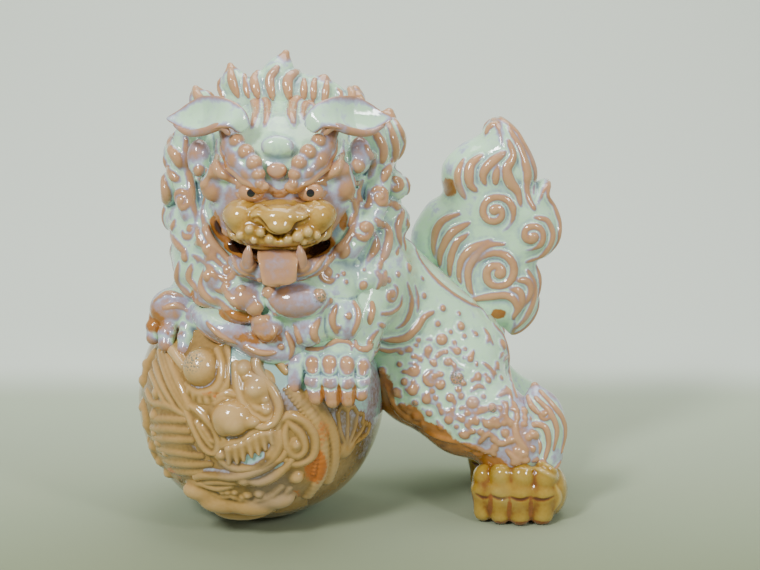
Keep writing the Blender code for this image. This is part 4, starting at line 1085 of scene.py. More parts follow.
nearPawPlan = pawPlan(
    [
        ("egg", (-14, -66, 146), (32, 20, 17)), ("egg", (-12, -74, 132), (28, 14, 14)),
        ("limb", (2, -46, 160), 19, (-8, -62, 150), 18), ("limb", (-38, -80, 142), 8, (-41, -86, 125), 5),
    ],
    [
        ((-27, -85, 143), (-26.5, -91, 131), (-24.5, -94, 119), 6.8),
        ((-15, -87, 143.5), (-14.5, -93, 131), (-12.5, -95, 117), 6.8),
        ((-3, -86, 142.5), (-2.5, -91, 130), (-1.5, -93, 117), 6.7),
        ((8.5, -81, 140), (8.5, -86, 129), (8, -89, 120), 6.3),
    ],
    {
        "sink": 0.1,
        "ropes": [
            (2.8, [(-17, 155), (-9, 158), (0, 156), (1, 152)]),
            (2.8, [(3, 159), (5, 153), (12, 151), (17, 155), (14, 160)]),
            (2.4, [(-34, 153), (-26, 152), (-18, 154)]), (2.6, [(-33, 162), (-28, 168), (-22, 160)]),
            (2.4, [(20, 150), (24, 158), (20, 166)]),
        ],
        "curls": [((-42, 155), 6.5, 2.6, 1.0, 90, -1)],
        "grooves": [
            (1.2, [(-33, 137), (-27, 136), (-21, 137)]), (1.2, [(-21, 137), (-15, 136), (-9, 137)]),
            (1.2, [(-9, 136), (-3, 135), (3, 136)]), (1.2, [(3, 134), (9, 133), (14, 134)]),
            (1.0, [(-32, 128), (-26, 126), (-20, 128)]), (1.0, [(-20, 128), (-14, 126), (-8, 128)]),
            (1.0, [(-8, 127), (-2, 125), (4, 127)]), (1.0, [(3, 127), (8, 125), (13, 127)]),
        ],
        "bare": [
            ((-27, -92, 143), (7.5, 14, 7.5), 1.35), ((-15, -92, 143.5), (7.5, 14, 7.5), 1.35),
            ((-3, -92, 143), (7.5, 14, 7.5), 1.35), ((8.5, -92, 140), (7.5, 14, 7.5), 1.35),
            ((-9, -94, 119), (28, 16, 13), 1.3), ((-40, -84, 128), (9, 20, 14), 0.35),
        ],
        "warm": [
            # the three narrow strips paint brown shade in the gaps between the claws; the wide spot tints the
            # claws
            ((-20, -92, 122), (2.6, 12, 16), 0.9), ((-8, -93, 121), (2.6, 12, 16), 0.9),
            ((3, -90, 121), (2.6, 12, 16), 0.9), ((-9, -94, 117), (26, 14, 12), 0.42),
        ],
    },
)
cast("forePawNear", nearPawPlan, mintGlaze, "mint_glaze", "front_paw_left")

farPawPlan = pawPlan(
    [
        ("egg", (-128, -24, 168), (27, 24, 19)), ("egg", (-132, -34, 172), (21, 17, 17)),
        ("egg", (-112, -44, 168), (14, 15, 13)),
    ],
    [
        ((-147, -32, 165), (-149, -37, 159), (-150, -41, 151), 7.0),
        ((-136, -43, 163), (-138, -48, 157), (-139, -53, 149), 7.4),
        ((-122, -49, 161), (-123, -54, 155), (-124, -59, 147), 7.0),
    ],
    {
        "ropes": [
            (2.6, [(-148, 180), (-138, 186), (-126, 184)]), (2.4, [(-140, 176), (-130, 178), (-122, 174)]),
            (2.6, [(-106, 172), (-98, 170), (-92, 164)]),
        ],
        "warm": [((-146, -40, 164), (16, 20, 14), 0.85), ((-130, -52, 158), (14, 14, 8), 0.5)],
        "bare": [((-134, -40, 172), (30, 30, 18), 0.95), ((-112, -52, 156), (16, 18, 14), -1.2)],
    },
)
cast("forePawFar", farPawPlan, mintGlaze, "mint_glaze", "front_paw_right")


def hindPaw(x, y):
    # a big paw flat on the floor, with its four toes set from its middle
    toes = [
        ((x - 28, y - 14, 36), (x - 29.5, y - 16, 26), (x - 29, y - 18, 8), 8.8),
        ((x - 15, y - 20, 39), (x - 17, y - 21.5, 27), (x - 16, y - 23, 8), 9.6),
        ((x, y - 22, 39), (x - 1, y - 23.5, 27), (x - 1, y - 25, 8), 10.0),
        ((x + 17, y - 19, 37), (x + 16, y - 21, 25), (x + 16, y - 22, 8), 11.0),
    ]
    palm = [
        ("egg", (x, y + 3, 24), (37, 33, 25)), ("egg", (x, y + 1, 10), (36, 31, 13)),
        ("egg", (x + 24, y - 6, 22), (14, 22, 20)), ("egg", (x - 4, y - 10, 23), (35, 24, 23)),
    ]
    # painted shade: brown strips in the gaps between the toes
    toeGapShade = [((x + d, y - 30, 17), (3.0, 12, 16), 0.7) for d in (-24.5, -10, 6.5)]
    return pawPlan(palm, toes, {
        "step": 0.95,
        "blend": 2.6,
        "tip": 0.88,
        "ropes": [
            (2.0, [(x - 12, 49), (x + 4, 50), (x + 20, 47), (x + 32, 38)]),
            (1.8, [(x + 2, 46), (x + 16, 44), (x + 28, 37)]),
            (1.8, [(x + 26, 32), (x + 30, 22), (x + 26, 12)]),
        ],
        "grooves": [
            (1.0, [(x - 36, 24), (x - 30, 22), (x - 25, 24)]),
            (1.2, [(x - 24, 25), (x - 17, 23), (x - 11, 25)]),
            (1.2, [(x - 9, 25), (x - 2, 23), (x + 6, 25)]),
            (1.2, [(x + 8, 24), (x + 16, 22), (x + 25, 24)]),
        ],
        "warm": toeGapShade + [((x, y - 30, 1), (44, 40, 6), 0.8), ((x - 38, y, 16), (7, 30, 16), 0.8)],
        "bare": [((x + 24, y - 20, 32), (18, 22, 14), 0.5), ((x - 10, y - 26, 38), (26, 16, 9), 0.4)],
        "cuts": [("egg", (x, y, -400), (1400, 1400, 400))],
        "cutBlend": 1,
    })


cast("hindPawNear", hindPaw(132, -12), amberGlaze, "amber_glaze", "hind_paw_left")
cast("hindPawFar", hindPaw(134, 64), amberGlaze, "amber_glaze", "hind_paw_right")


def hockTuft(y, drop=0.0):
    # the curled hair behind a hock; drop lowers its masses where the leg hides the top
    return {
        "step": 0.95,
        "blend": 6,
        "masses": [
            ("egg", (150, y - 5, 70 - drop), (18, 16, 31)), ("egg", (144, y - 5, 88 - drop), (11, 12, 15)),
            ("egg", (149, y - 5, 48), (17, 17, 17)),
            ("limb", (146, y - 3, 94 - drop), 6, (143, y - 2, 105 - drop), 2.5),
        ],
        "ropes": [
            (2.9, [(147, 102), (156, 92), (163, 82), (166, 70), (164, 54)]),
            (2.7, [(143, 98), (153, 88), (159, 74), (157, 58)]),
            (2.7, [(138, 58), (136, 70), (142, 78), (150, 76), (153, 64), (150, 50)]),
            (2.6, [(137, 98), (140, 92), (146, 86)]), (2.7, [(134, 48), (141, 40), (154, 38), (163, 46)]),
            (2.4, [(142, 68), (146, 62), (145, 54)]),
        ],
        "curls": [((149, 86), 7, 2.6, 1.1, 120, -1), ((147, 46), 7, 2.8, 1.0, 180, 1)],
        "sink": 0.0,
        "lift": 0.45,
        "warm": [((154, y, 44), (18, 20, 14), 0.35)],
    }


cast("hockTuftNear", hockTuft(-8), mintGlaze, "mint_glaze", "hock_tuft_left")
cast("hockTuftFar", hockTuft(60, 34.0), mintGlaze, "mint_glaze", "hock_tuft_right")

# tail: a flat flame with a puffed section
tailPlan = {
    "step": 1.05,
    "low": (40, 124),
    "high": (176, 318),
    "middle": 56,
    "thick": 27,
    "rim": 26,
    "outline": [
        (111, 308), (118, 308), (127, 302), (134, 294), (140, 283), (145, 272), (147, 262), (145, 255),
        (149, 257), (155, 259), (159, 256), (159, 245), (164, 234), (167, 224), (168, 213), (164, 202),
        (157, 195), (150, 191), (152, 178), (152, 162), (148, 148), (140, 137), (130, 130), (122, 136),
        (112, 134), (92, 138), (70, 158), (56, 178), (47, 196), (47, 214), (52, 226), (61, 239), (72, 247),
        (71, 258), (73, 272), (86, 286), (102, 295),
    ],
    "ropes": [
        (4.0, [(113, 305), (109, 301), (106, 295)]),
        (5.2, [(119, 307), (129, 297), (134, 288), (140, 277), (144, 266), (144, 256), (143, 247)]),
        (5.4, [(124, 300), (131, 286), (135, 276), (138, 265), (137, 254), (139, 246), (144, 238)]),
        (5.4, [(123, 291), (126, 280), (121, 270), (124, 260), (130, 252), (133, 241)]),
        (5.2, [(120, 283), (112, 277), (105, 270), (103, 264), (105, 258)]),
        (4.8, [(115, 274), (113, 265), (113, 258)]),
        (5.2, [(102, 280), (94, 273), (92, 265), (93, 258), (98, 253)]),
        (4.6, [(88, 276), (84, 266), (85, 257), (89, 247)]),
        (4.3, [(145, 231), (154, 228), (159, 217), (156, 206), (150, 199), (139, 195)]),
        (4.3, [(158, 256), (155, 247), (161, 236), (165, 224), (164, 211), (157, 200)]),
        (4.0, [(84, 234), (73, 229), (67, 221), (65, 209), (66, 199)]),
        (4.6, [(92, 227), (80, 220), (74, 212), (70, 202), (70, 192)]),
        (4.6, [(91, 218), (83, 212), (79, 203), (78, 195), (78, 184)]),
        (4.8, [(110, 213), (96, 207), (87, 198), (85, 187), (87, 178)]),
        (4.8, [(120, 210), (108, 209), (98, 201), (92, 190), (93, 176), (97, 168)]),
        (4.6, [(94, 165), (106, 167), (120, 169), (128, 166), (132, 158), (129, 149)]),
        (4.6, [(124, 174), (132, 172), (135, 165), (133, 154)]),
        (4.6, [(130, 181), (139, 179), (142, 171), (137, 158)]),
        (4.8, [(140, 187), (145, 176), (145, 165), (140, 151), (133, 140)]),
        (4.3, [(147, 190), (150, 178), (149, 163)]),
        (4.0, [(151, 161), (148, 149), (139, 138), (130, 132)]),
    ],
    "curls": [
        ((113, 236), 17, 4.6, 1.5, -70, 1), ((142, 217), 13, 4.6, 1.2, -110, 1),
        ((115, 187), 21, 5.2, 1.55, 200, -1),
    ],
    "bare": [((112, 50, 306), (12, 20, 10), 0.9)],
    "warm": [((77, 40, 254), (9, 26, 11), 0.95), ((117, 40, 153), (10, 26, 7), 1.1)],
}


def flameDistance(axes, outline, middle, thick, rim):
    # in plan the distance to the outline; across it a half oval that grows with the way in from the edge
    x, y, z = axes
    px, pz = np.broadcast_arrays(x[:, 0, :], z[0, 0, :][None, :])
    corners = np.array(outline, float)
    nearest, inside = np.full(px.shape, 1e9), np.zeros(px.shape, bool)
    for (ax, az), (bx, bz) in zip(corners, np.roll(corners, -1, 0)):
        t = np.clip(((px - ax) * (bx - ax) + (pz - az) * (bz - az)) / ((bx - ax) ** 2 + (bz - az) ** 2), 0, 1)
        nearest = np.minimum(nearest, np.hypot(px - ax - t * (bx - ax), pz - az - t * (bz - az)))
        crosses = (az > pz) != (bz > pz)
        inside ^= crosses & (px < ax + (pz - az) * (bx - ax) / ((bz - az) or 1e-9))
    way = np.where(inside, nearest, -nearest)[:, None, :]
    p = 1 - np.minimum(way, rim) / rim
    return ((np.hypot(p, np.abs(y - middle) / thick) - 1) * min(rim, thick)).astype(np.float32)


def makeTail(plan):
    # the flame is cut out first, then strands and spirals are laid on its front and on its back
    outline = smoothPath(plan["outline"] + plan["outline"][:1], 150)[:-1]
    (lowX, lowZ), (highX, highZ), reach = plan["low"], plan["high"], plan["thick"] + 9
    clay = newClay((lowX, plan["middle"] - reach, lowZ), (highX, plan["middle"] + reach, highZ), plan["step"])
    window, axes = windowOf(clay, clay["low"], clay["low"] + 1e4)
    clay["field"][window] = flameDistance(axes, outline, plan["middle"], plan["thick"], plan["rim"])
    base = copyOf(clay)
    for heading in ((0, 1, 0), (0, -1, 0)):
        layRopes(clay, base, plan["ropes"], 0.24, 1.2, heading=heading)
        for centre, radius, thick, turns, start, hand in plan["curls"]:
            if heading[1] < 0:  # the same spiral seen from behind
                start, hand = 180 - start, -hand
            place = tuple(fromFront(base, [centre], heading)[0])
            layCurl(clay, base, place, radius, thick, turns, start, hand)
    piece = fromClay("tailCasting", clay, base, plan)
    finishPiece(piece, mintGlaze, "mint_glaze", "tail", "tail_flame_upper", "tail_flame_lower")


makeTail(tailPlan)


# small hand-made parts
earPlan = {
    "path": [
        (-74, -80, 312), (-80, -83, 321), (-92, -78, 324), (-108, -68, 322), (-122, -60, 319),
        (-133, -56, 318),
    ],
    "width": [5, 10, 13, 14.5, 9, 1.0], "height": [5.5, 5, 3.6, 2.8, 2.2, 1.0], "cup": [1, 3, 6, 7, 3, 0],
    "up": (0.1, -0.88, 0.4), "rim": 1.8, "tip": 0.9, "under": 1.0, "cap": 0.04, "sides": 64, "steps": 90,
}
# the folded hem under the ear
hemPlan = {
    "path": [(-128, -58, 314), (-116, -68, 309), (-103, -76, 311), (-91, -82, 315), (-84, -84, 309)],
    "width": [1.0, 2.4, 3.0, 3.2, 2.0], "height": [1.0, 2.2, 2.8, 3.0, 2.0], "cup": [0, 0, 0, 0, 0],
    "under": 0.5, "rim": 0.2, "tip": 0.4, "lift": 1.3, "steps": 60, "sides": 24,
}
for side, mirror in (("Right", False), ("Left", True)):
    ear = sweep("ear" + side, earPlan | {"mirror": mirror})
    finishPiece(ear, mintGlaze, "mint_glaze", "ear_" + side.lower())
    hem = sweep("earHem" + side, hemPlan | {"mirror": mirror})
    finishPiece(hem, mintGlaze, "mint_glaze")

# the tongue hangs over the lower lip, hollowed along its middle
tonguePlan = {
    "path": [(-51, -80, 227), (-51, -94, 227), (-50, -104, 222), (-49.5, -107, 213), (-49, -107, 205)],
    "width": [14, 14.5, 14.5, 13, 11.6], "height": [3.2, 3.2, 3.0, 3.0, 2.8], "cup": [0, 1.5, 3, 3.4, 1.6],
    "up": (0, -0.5, 1), "rim": 1.0, "tip": 0.8, "cap": 0.07, "lift": 1.35,
}
tongue = sweep("tongueSlab", tonguePlan)
finishPiece(tongue, mintGlaze, "mint_glaze", "tongue")

# the two lower fangs stand up beside it
fangPlan = {
    "width": [4.4, 4.3, 3.4, 0.9], "height": [4.2, 4.0, 3.2, 0.9], "cup": [0, 0, 0, 0],
    "rim": 0.0, "tip": 0.3, "lift": 1.3, "steps": 40, "sides": 32, "cap": 0.03,
}
for side, x, lean in (("right", -72, 1), ("left", -34, -1)):
    line = [(x, -98, 217), (x, -100, 224), (x + lean * 0.6, -101, 229), (x + lean * 1.2, -101, 233.5)]
    fang = sweep("fang" + side.title(), fangPlan | {"path": line})
    finishPiece(fang, mintGlaze, "mint_glaze", "fang_" + side)


def ringsAndPoles(u, m):
    # unit directions (sin u cos v, -cos u, sin u sin v) in rings round the axis that faces the viewer,
    # then one for each pole, and the faces between them
    v = np.linspace(0, 2 * np.pi, m, endpoint=False)[None, :]
    way = np.stack([np.sin(u) * np.cos(v), -np.cos(u) + 0 * v, np.sin(u) * np.sin(v)], -1).reshape(-1, 3)
    way = np.vstack([way, [(0, -1, 0), (0, 1, 0)]])
    i, j = np.meshgrid(np.arange(len(u) - 1), np.arange(m), indexing="ij")
    a, b = i * m + j, i * m + (j + 1) % m
    ring, count, back = np.arange(m), len(u) * m, (len(u) - 1) * m
    first = np.stack([ring, (ring + 1) % m, np.full(m, count)], 1)
    last = np.stack([(ring + 1) % m, ring, np.full(m, count + 1)], 1) + [back, back, 0]
    return way, np.stack([a, a + m, b + m, b], -1).reshape(-1, 4).tolist() + first.tolist() + last.tolist()


# eyes: oval balls with a round pupil that looks ahead
eyePlan = {"radii": (9.5, 6.0, 7.0), "rings": 90, "sides": 120, "pupil": 2.9, "look": (0.14, 0.14)}


def makeEye(name, place, node, plan):
    # the pupil mark is the pupil's radius less the plan distance from where the eye looks
    way, faces = ringsAndPoles(np.linspace(0, np.pi, plan["rings"])[1:-1, None], plan["sides"])
    points = np.array(place) + way * plan["radii"]
    flat = (points - place)[:, [0, 2]] - plan["look"]
    pupil = np.where(way[:, 1] < 0, plan["pupil"] - np.hypot(flat[:, 0], flat[:, 1]), -5)
    piece = newPiece(name, points, faces, {"pupil": pupil})
    finishPiece(piece, eyeEnamel, "eye_enamel", node)


makeEye("eyeRight", (-69.5, -87.5, 269), "eye_right", eyePlan)
makeEye("eyeLeft", (-27.5, -87.5, 269), "eye_left", eyePlan)
print("ears, tongue, fangs and eyes made")


# the ball: a sphere turned round the axis that faces the viewer, with low relief on it
def ballSurface(points):
    # the distance from the ball's centre, less its radius
    return np.linalg.norm(points - ballCentre, axis=1) - ballRadius


reliefPlan = {
    "rings": 250,
    "sides": 340,
    # (half width, height, path)
    "lines": [
        (2.9, 1.7, [(-150, 92), (-138, 96), (-122, 99)]), (2.9, 1.5, [(-152, 83), (-138, 88), (-120, 91)]),
        (2.9, 1.5, [(-151, 75), (-136, 80), (-117, 84)]), (2.9, 1.4, [(-148, 66), (-132, 70), (-110, 72)]),
        (2.9, 1.4, [(-144, 57), (-126, 61), (-104, 66)]), (2.6, 1.2, [(-140, 49), (-122, 54), (-100, 60)]),
        (5.5, 3.0, [(-42, 124), (-31, 110), (-22, 92), (-20, 72), (-23, 52), (-32, 34)]),
        (5.1, 2.7, [(-30, 118), (-19, 102), (-12, 84), (-12, 64), (-17, 46)]),
        (1.8, 1.8, [(-48, 124), (-36, 108), (-27, 92), (-25, 74), (-28, 56)]),
        (1.8, 1.5, [(-3, 71), (-7, 86), (-9, 101)]), (1.8, 1.5, [(-3, 71), (-2, 88), (-2, 102)]),
        (1.8, 1.5, [(-3, 71), (3, 85), (5, 97)]), (1.8, 1.5, [(-3, 71), (7, 80), (10, 87)]),
        (1.8, 1.5, [(-3, 71), (8, 74), (13, 76)]),
        (2.0, 1.7, [
            (-9, 101), (-6, 106), (-2, 102), (2, 103), (5, 97), (9, 94), (9, 87), (14, 83), (12, 76),
        ]),
        (5.5, 2.1, [(-6, 71), (-3, 68), (0, 71)]),
    ],
    "wobble": 0.35,
    "bare": [
        ((-40, -70, 146), (64, 60, 34), -1.5), ((12, -30, 112), (32, 50, 42), -1.2),
        ((-70, -70, 140), (30, 60, 25), -0.9), ((-44, -80, 118), (16, 30, 26), -0.7),
    ],
    "warm": [
        ((-140, -60, 42), (16, 30, 16), 0.95), ((-26, -80, 62), (12, 30, 22), 0.9),
        ((-50, -86, 34), (28, 30, 14), 0.8), ((-20, -86, 90), (8, 30, 16), 0.5),
    ],
}


def makeBall(plan):
    # rings lie close together on the side that carries the mask: u = pi (0.62 w + 0.38 w^2.6)
    w = np.linspace(0, 1, plan["rings"])
    way, faces = ringsAndPoles((np.pi * (0.62 * w + 0.38 * w**2.6))[1:-1, None], plan["sides"])
    points = ballCentre + way * ballRadius
    # each line of relief is a half oval in section
    height = np.zeros(len(points))
    for half, tall, places in plan["lines"]:
        line = fromFront(ballSurface, smoothPath(places, 24))
        near = np.all((points > line.min(0) - half) & (points < line.max(0) + half), axis=1)
        away = np.min(np.linalg.norm(points[near][:, None] - line[None], axis=2), axis=1)
        height[near] = np.maximum(height[near], tall * np.sqrt(np.clip(1 - (away / half) ** 2, 0, 1)))
    # thrown clay is never true: three slow waves
    p = points * 0.06
    waves = np.sin(p[:, 0] * 1.3 + p[:, 2]) + np.sin(p[:, 1] * 1.7 - p[:, 2] * 1.1)
    waves += np.sin(p[:, 0] - p[:, 1] * 0.8)
    height += plan["wobble"] * waves - 0.6
    points = points + way * height[:, None]
    # the ball stands on a flat foot
    points[:, 2] = np.maximum(points[:, 2], 0.0)
    thin = 0.8 * height - 0.15 + softSpots(points, plan["bare"])
    warm = softSpots(points, plan["warm"])
    piece = newPiece("ballCasting", points, faces, {"thin": thin, "warm": warm, "stipple": 0 * thin})
    print("ballCasting", len(faces) * 2, "triangles")
    finishPiece(piece, tanGlaze, "ball_glaze", "ball", "cloud_band_inner", "cloud_band_outer")


makeBall(reliefPlan)


# the dragon's mask: sprigs pressed in moulds and laid on the ball
def sprig(name, plan, *nodes):
    # a sprig is cast on the ball's own surface, with edges that the glaze leaves bare; its high edge weight
    # also paints dark shade in its creases
    common = {
        "step": 0.8, "base": ballSurface, "wide": 4, "edge": 2.6, "form": 0.6, "relief": 0.15, "sink": 0.22,
        "fillet": 4,
    }
    cast(name, common | plan, tanGlaze, "ball_glaze", *nodes)


def onBall(x, z, lift=0.0):
    # the place on the ball's front above plan (x, z), moved outwards by lift
    y = -math.sqrt(max(ballRadius**2 - (x - ballCentre[0]) ** 2 - (z - ballCentre[2]) ** 2, 0))
    place = np.array([x, y, z])
    return tuple(place + (place - ballCentre) / ballRadius * lift)


sprig("dragonEye", {
    "box": ((-134, -112, 112), (-88, -52, 162)),
    "masses": [("egg", onBall(-111, 138, -4), (14.5, 14.5, 14.5))],
    "ropes": [
        (3.1, [(-98, 150), (-94, 140), (-95, 129), (-102, 122), (-113, 120), (-121, 125)]),
        (1.7, [(-118, 124), (-120, 119)]), (1.7, [(-114, 122), (-115, 117)]),
        (1.7, [(-110, 121), (-110, 115)]), (1.7, [(-106, 121), (-105, 115)]),
        (1.7, [(-101, 123), (-99, 117)]), (2.6, [(-90, 154), (-87, 142), (-89, 130), (-95, 122)]),
    ],
    "stipple": [(onBall(-112, 140, 9), 10)],
    "warm": [(onBall(-100, 120, 2), (12, 10, 4), 0.5)],
}, "dragon_eye")
sprig("dragonHorn", {
    "box": ((-152, -76, 130), (-112, -20, 160)),
    "ropes": [(3.8, [(-144, 150), (-134, 145), (-124, 137)], (0.4, 0.8))],
    "sink": -0.1,
    "lift": 1.0,
}, "dragon_horn")
sprig("dragonMane", {
    "box": ((-172, -90, 40), (-104, 20, 160)),
    "ropes": [
        (2.8, [(-146, 141), (-134, 122), (-122, 106)]), (2.6, [(-150, 132), (-141, 120), (-130, 107)]),
        (2.6, [(-139, 142), (-127, 124), (-119, 109)]), (2.4, [(-142, 141), (-131, 123), (-120, 108)]),
        (2.6, [(-153, 124), (-146, 118), (-136, 106)]),
        (2.4, [(-156, 110), (-150, 105), (-136, 107), (-122, 103)]),
        (3.1, [(-152, 138), (-157, 126), (-160, 113)]), (3.1, [(-160, 100), (-157, 90), (-156, 78)]),
        (2.8, [(-156, 70), (-152, 60), (-148, 50)]),
    ],
    "bumps": [
        ((-146, 113), 4.4), ((-149, 95), 3.8), ((-157, 128), 5.0), ((-160, 116), 4.6), ((-160, 96), 4.2),
        ((-157, 84), 4.0), ((-153, 66), 3.8), ((-148, 54), 3.6), ((-142, 44), 3.6), ((-147, 73), 2.6),
        ((-141, 66), 2.2), ((-150, 80), 2.0),
    ],
    "lift": 0.1,
}, "dragon_mane")
sprig("dragonPearlEye", {
    "box": ((-92, -112, 98), (-46, -76, 152)),
    "masses": [
        ("egg", onBall(-68, 124, -5), (11, 9, 16), (0, 32, 0)), ("egg", onBall(-70, 124, 2), (5, 4, 5)),
    ],
    "ropes": [
        (2.4, [(-84, 142), (-82, 128), (-78, 116), (-70, 107), (-60, 103), (-54, 108)]),
        (1.7, [(-74, 127), (-70, 129), (-66, 124)]), (1.7, [(-74, 121), (-70, 119), (-66, 122)]),
        (2.4, [(-72, 115), (-66, 111), (-60, 114)]), (2.1, [(-77, 133), (-71, 134), (-65, 130)]),
    ],
    "bumps": [((-78, 139), 5.0), ((-61, 110), 4.0), ((-62, 118), 3.0)],
    "lift": 0.5,
}, "dragon_pearl_eye")
sprig("dragonSnout", {
    "box": ((-128, -116, 74), (-60, -70, 128)),
    "masses": [
        ("egg", onBall(-86, 104, -4), (16, 14, 14)), ("egg", onBall(-84, 100, 3), (8, 7, 7)),
        ("egg", onBall(-92, 97, 1), (6, 5, 6)), ("egg", onBall(-72, 102, 0), (7, 6, 5)),
    ],
    "ropes": [
        (2.1, [(-98, 114), (-92, 118), (-86, 117)]), (1.9, [(-97, 110), (-91, 114), (-84, 113)]),
        (2.1, [(-96, 119), (-90, 122), (-85, 121)]),
        (3.5, [(-96, 82), (-90, 84), (-83, 86), (-76, 90), (-69, 95), (-61, 96)]),
        (2.1, [
            (-122, 106), (-114, 90), (-108, 79), (-101, 75), (-97, 80), (-97, 88), (-101, 97), (-112, 107),
            (-119, 110),
        ]),
        (1.5, [(-113, 98), (-107, 88), (-102, 81)]), (1.2, [(-109, 96), (-106, 92)]),
        (1.2, [(-106, 92), (-103, 88)]), (1.2, [(-104, 87), (-100, 85)]),
        (2.1, [(-94, 92), (-92, 87), (-96, 84)]),
    ],
    "bumps": [((-79, 97), 3.4)],
}, "dragon_snout")
# teeth: plan x and z of each root and of each tip
teeth = [
    (-89, 81, -89, 69), (-84, 83, -83, 70), (-79, 85, -78, 72), (-74, 88, -72, 75), (-69, 91, -67, 77),
    (-64, 93, -62, 81), (-59, 93, -57, 85),
]
sprig("dragonJaw", {
    "box": ((-104, -112, 52), (-44, -76, 102)),
    "masses": [("limb", onBall(a, b, 0.5), 3.0, onBall(c, d, 1.5), 0.9) for a, b, c, d in teeth],
    "ropes": [
        (3.1, [(-98, 74), (-90, 66), (-80, 64), (-68, 68), (-58, 78), (-54, 88), (-58, 96)]),
        (3.8, [(-78, 60), (-66, 66), (-57, 74), (-52, 84), (-52, 94)]),
    ],
    "bumps": [((-95, 75), 4.0)],
    "bare": [(onBall(-68, 72, 0), (14, 10, 8), -1.6)],
}, "dragon_jaw")
sprig("dragonWhisker", {
    "box": ((-84, -120, 92), (-40, -70, 158)),
    "ropes": [
        (3.5, [
            (-77, 103), (-70, 100), (-63, 98), (-55, 102), (-52, 112), (-56, 123), (-63, 132), (-68, 140),
            (-67, 147), (-61, 149), (-54, 145), (-47, 136),
        ]),
    ],
    "sink": -0.35,
    "bare": [(onBall(-60, 124, 4), (30, 20, 40), -0.5)],
}, "dragon_whisker")
sprig("dragonEar", {
    "box": ((-58, -108, 58), (-18, -66, 112)),
    "ropes": [
        (3.3, [(-53, 96), (-51, 102), (-44, 105), (-33, 99), (-26, 86), (-28, 71), (-40, 66), (-49, 72)]),
        (2.8, [(-46, 101), (-36, 90), (-34, 78), (-40, 73), (-46, 80), (-48, 91), (-46, 100)]),
    ],
    "curls": [(onBall(-40, 81), 6, 2.2, 1.0, 90, 1)],
    "bumps": [((-40, 82), 4.0)],
}, "dragon_ear")
sprig("dragonChin", {
    "box": ((-128, -112, 40), (-34, -76, 80)),
    "ropes": [
        (4.2, [(-122, 48), (-112, 54), (-100, 57), (-88, 57), (-78, 59), (-66, 64), (-52, 72), (-46, 80)]),
        (4.0, [(-78, 54), (-68, 52), (-58, 56), (-48, 65), (-42, 72)]),
        (2.8, [(-110, 47), (-100, 51), (-86, 51)]),
    ],
    "bumps": [((-79, 54), 5.0), ((-40, 54), 5.4)],
    "bare": [(onBall(-100, 60, 0), (24, 14, 4), -1.2), (onBall(-60, 68, 0), (14, 14, 5), -1.4)],
}, "dragon_chin_roll")
sprig("flameRoll", {
    "box": ((-132, -110, 4), (-34, -40, 54)),
    "masses": [
        ("egg", onBall(-112, 38, -2), (16, 8, 9)), ("egg", onBall(-96, 30, -2), (20, 8, 11)),
        ("egg", onBall(-74, 28, -2), (20, 8, 10)), ("egg", onBall(-56, 34, -2), (14, 7, 9)),
        ("egg", onBall(-84, 18, -2), (22, 8, 8)),
    ],
    "ropes": [
        (2.8, [(-122, 44), (-112, 46), (-100, 44), (-90, 47)]),
        (2.6, [(-52, 46), (-60, 38), (-70, 34), (-78, 26)]), (2.4, [(-118, 34), (-110, 26), (-98, 20)]),
        (2.4, [(-46, 44), (-54, 32), (-66, 24)]), (2.4, [(-106, 40), (-98, 36), (-90, 38), (-84, 34)]),
    ],
    "bumps": [((-100, 31), 4.6)] + scatter(((-120, 16), (-56, 42)), 46, (1.4, 2.8), 4),
    "warm": [(onBall(-84, 24, 2), (40, 16, 6), 0.35)],
}, "flame_roll")


# stage, light and camera
stagePlan = {"near": -1500, "far": 2600, "side": 2600, "flat": 600, "bend": 700}  # mm


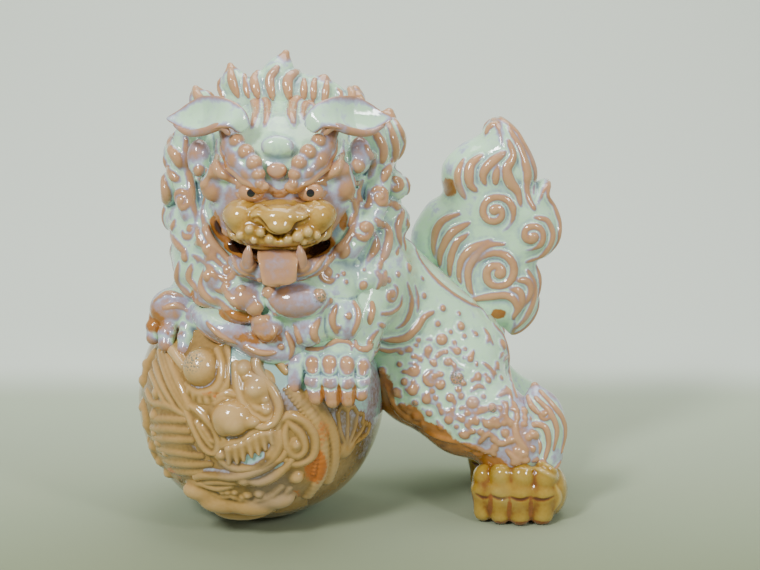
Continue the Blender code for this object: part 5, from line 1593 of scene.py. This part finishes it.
def makeStage(plan):
    # a pale sheet that runs flat under the statue and curves up behind it: a quarter round, then upright
    run = np.linspace(plan["near"], plan["far"], 120)
    flat, bend = plan["flat"], plan["bend"]
    turn = np.clip((run - flat) / bend, 0, np.pi / 2)
    y = np.where(run < flat, run, flat + bend * np.sin(turn))
    z = np.where(run < flat, 0, bend * (1 - np.cos(turn))) + np.clip(run - flat - bend * np.pi / 2, 0, None)
    x = np.linspace(-plan["side"], plan["side"], 60)
    sheet = (np.broadcast_to(a, (len(run), len(x))) for a in (x[None, :], y[:, None], z[:, None]))
    points = np.stack(list(sheet), -1).reshape(-1, 3)
    i, j = np.meshgrid(np.arange(len(run) - 1), np.arange(len(x) - 1), indexing="ij")
    a = i * len(x) + j
    faces = np.stack([a, a + 1, a + 1 + len(x), a + len(x)], -1).reshape(-1, 4)
    floor = newPiece("paleSheet", points, faces)
    cloth = bpy.data.materials.new("pale cloth")
    cloth.use_nodes = True
    tree = cloth.node_tree
    place = addNode(tree, "ShaderNodeTexCoord").outputs["Object"]
    depth = addNode(tree, "ShaderNodeSeparateXYZ", {}, {0: place}).outputs["Y"]
    # painted light and shade: darker green-grey near the viewer, paler towards the back, where the sheet
    # rises
    near = addNode(tree, "ShaderNodeMapRange", {"From Min": -0.13, "From Max": 0.3}, {"Value": depth})
    tone = addNode(tree, "ShaderNodeMix", {
        "data_type": "RGBA", 6: colour("#838E70"), 7: colour("#B6C2AA"),
    }, {0: near.outputs[0]})
    far = addNode(tree, "ShaderNodeMapRange", {
        "From Min": 0.3, "From Max": 0.46, "interpolation_type": "SMOOTHSTEP",
    }, {"Value": depth})
    tone = addNode(tree, "ShaderNodeMix", {
        "data_type": "RGBA", 7: colour("#E6EFE3"),
    }, {0: far.outputs[0], 6: tone.outputs[2]})
    shader = tree.nodes["Principled BSDF"]
    shader.inputs["Roughness"].default_value = 0.9
    tree.links.new(tone.outputs[2], shader.inputs["Base Color"])
    floor.data.materials.append(cloth)


# soft boxes: place and size in metres, power in watts
lights = {
    "window left": {"place": (-0.75, -1.15, 1.25), "size": (0.3, 0.4), "power": 26},
    "window right": {"place": (1.0, -1.1, 0.9), "size": (0.2, 0.4), "power": 10},
    "top": {"place": (0.1, 0.2, 1.7), "size": (1.4, 1.0), "power": 18},
}


def addLight(name, plan, aim=(0, 0, 0.18)):
    # a soft box turned to face the statue
    lamp = bpy.data.lights.new(name, "AREA")
    lamp.shape, lamp.size, lamp.size_y = "RECTANGLE", *plan["size"]
    lamp.energy = plan["power"]
    piece = bpy.data.objects.new(name, lamp)
    piece.location = plan["place"]
    piece.rotation_euler = (Vector(aim) - Vector(plan["place"])).to_track_quat("-Z", "Y").to_euler()
    bpy.context.scene.collection.objects.link(piece)


cameraPlan = {"lens": 70, "sensor": 36, "tilt": 12, "away": 1153, "aim": (21.8, 0, 183)}  # mm and degrees


def makeCamera(plan):
    # it looks down at the aim point by the tilt, from the given distance
    lens = bpy.data.cameras.new("camera")
    lens.lens, lens.sensor_width = plan["lens"], plan["sensor"]
    camera = bpy.data.objects.new("camera", lens)
    tilt = math.radians(plan["tilt"])
    back = np.array([0, -math.cos(tilt), math.sin(tilt)])
    camera.location = (np.array(plan["aim"]) + planShift + back * plan["away"]) * 0.001
    camera.rotation_euler = Vector(-back).to_track_quat("-Z", "Y").to_euler()
    bpy.context.scene.collection.objects.link(camera)
    bpy.context.scene.camera = camera


makeStage(stagePlan)
for name, plan in lights.items():
    addLight(name, plan)
world = bpy.data.worlds.new("room")
world.use_nodes = True
world.node_tree.nodes["Background"].inputs["Color"].default_value = colour("#E9EBE6")
world.node_tree.nodes["Background"].inputs["Strength"].default_value = 0.5
bpy.context.scene.world = world
makeCamera(cameraPlan)
print("stage, lights and camera made")
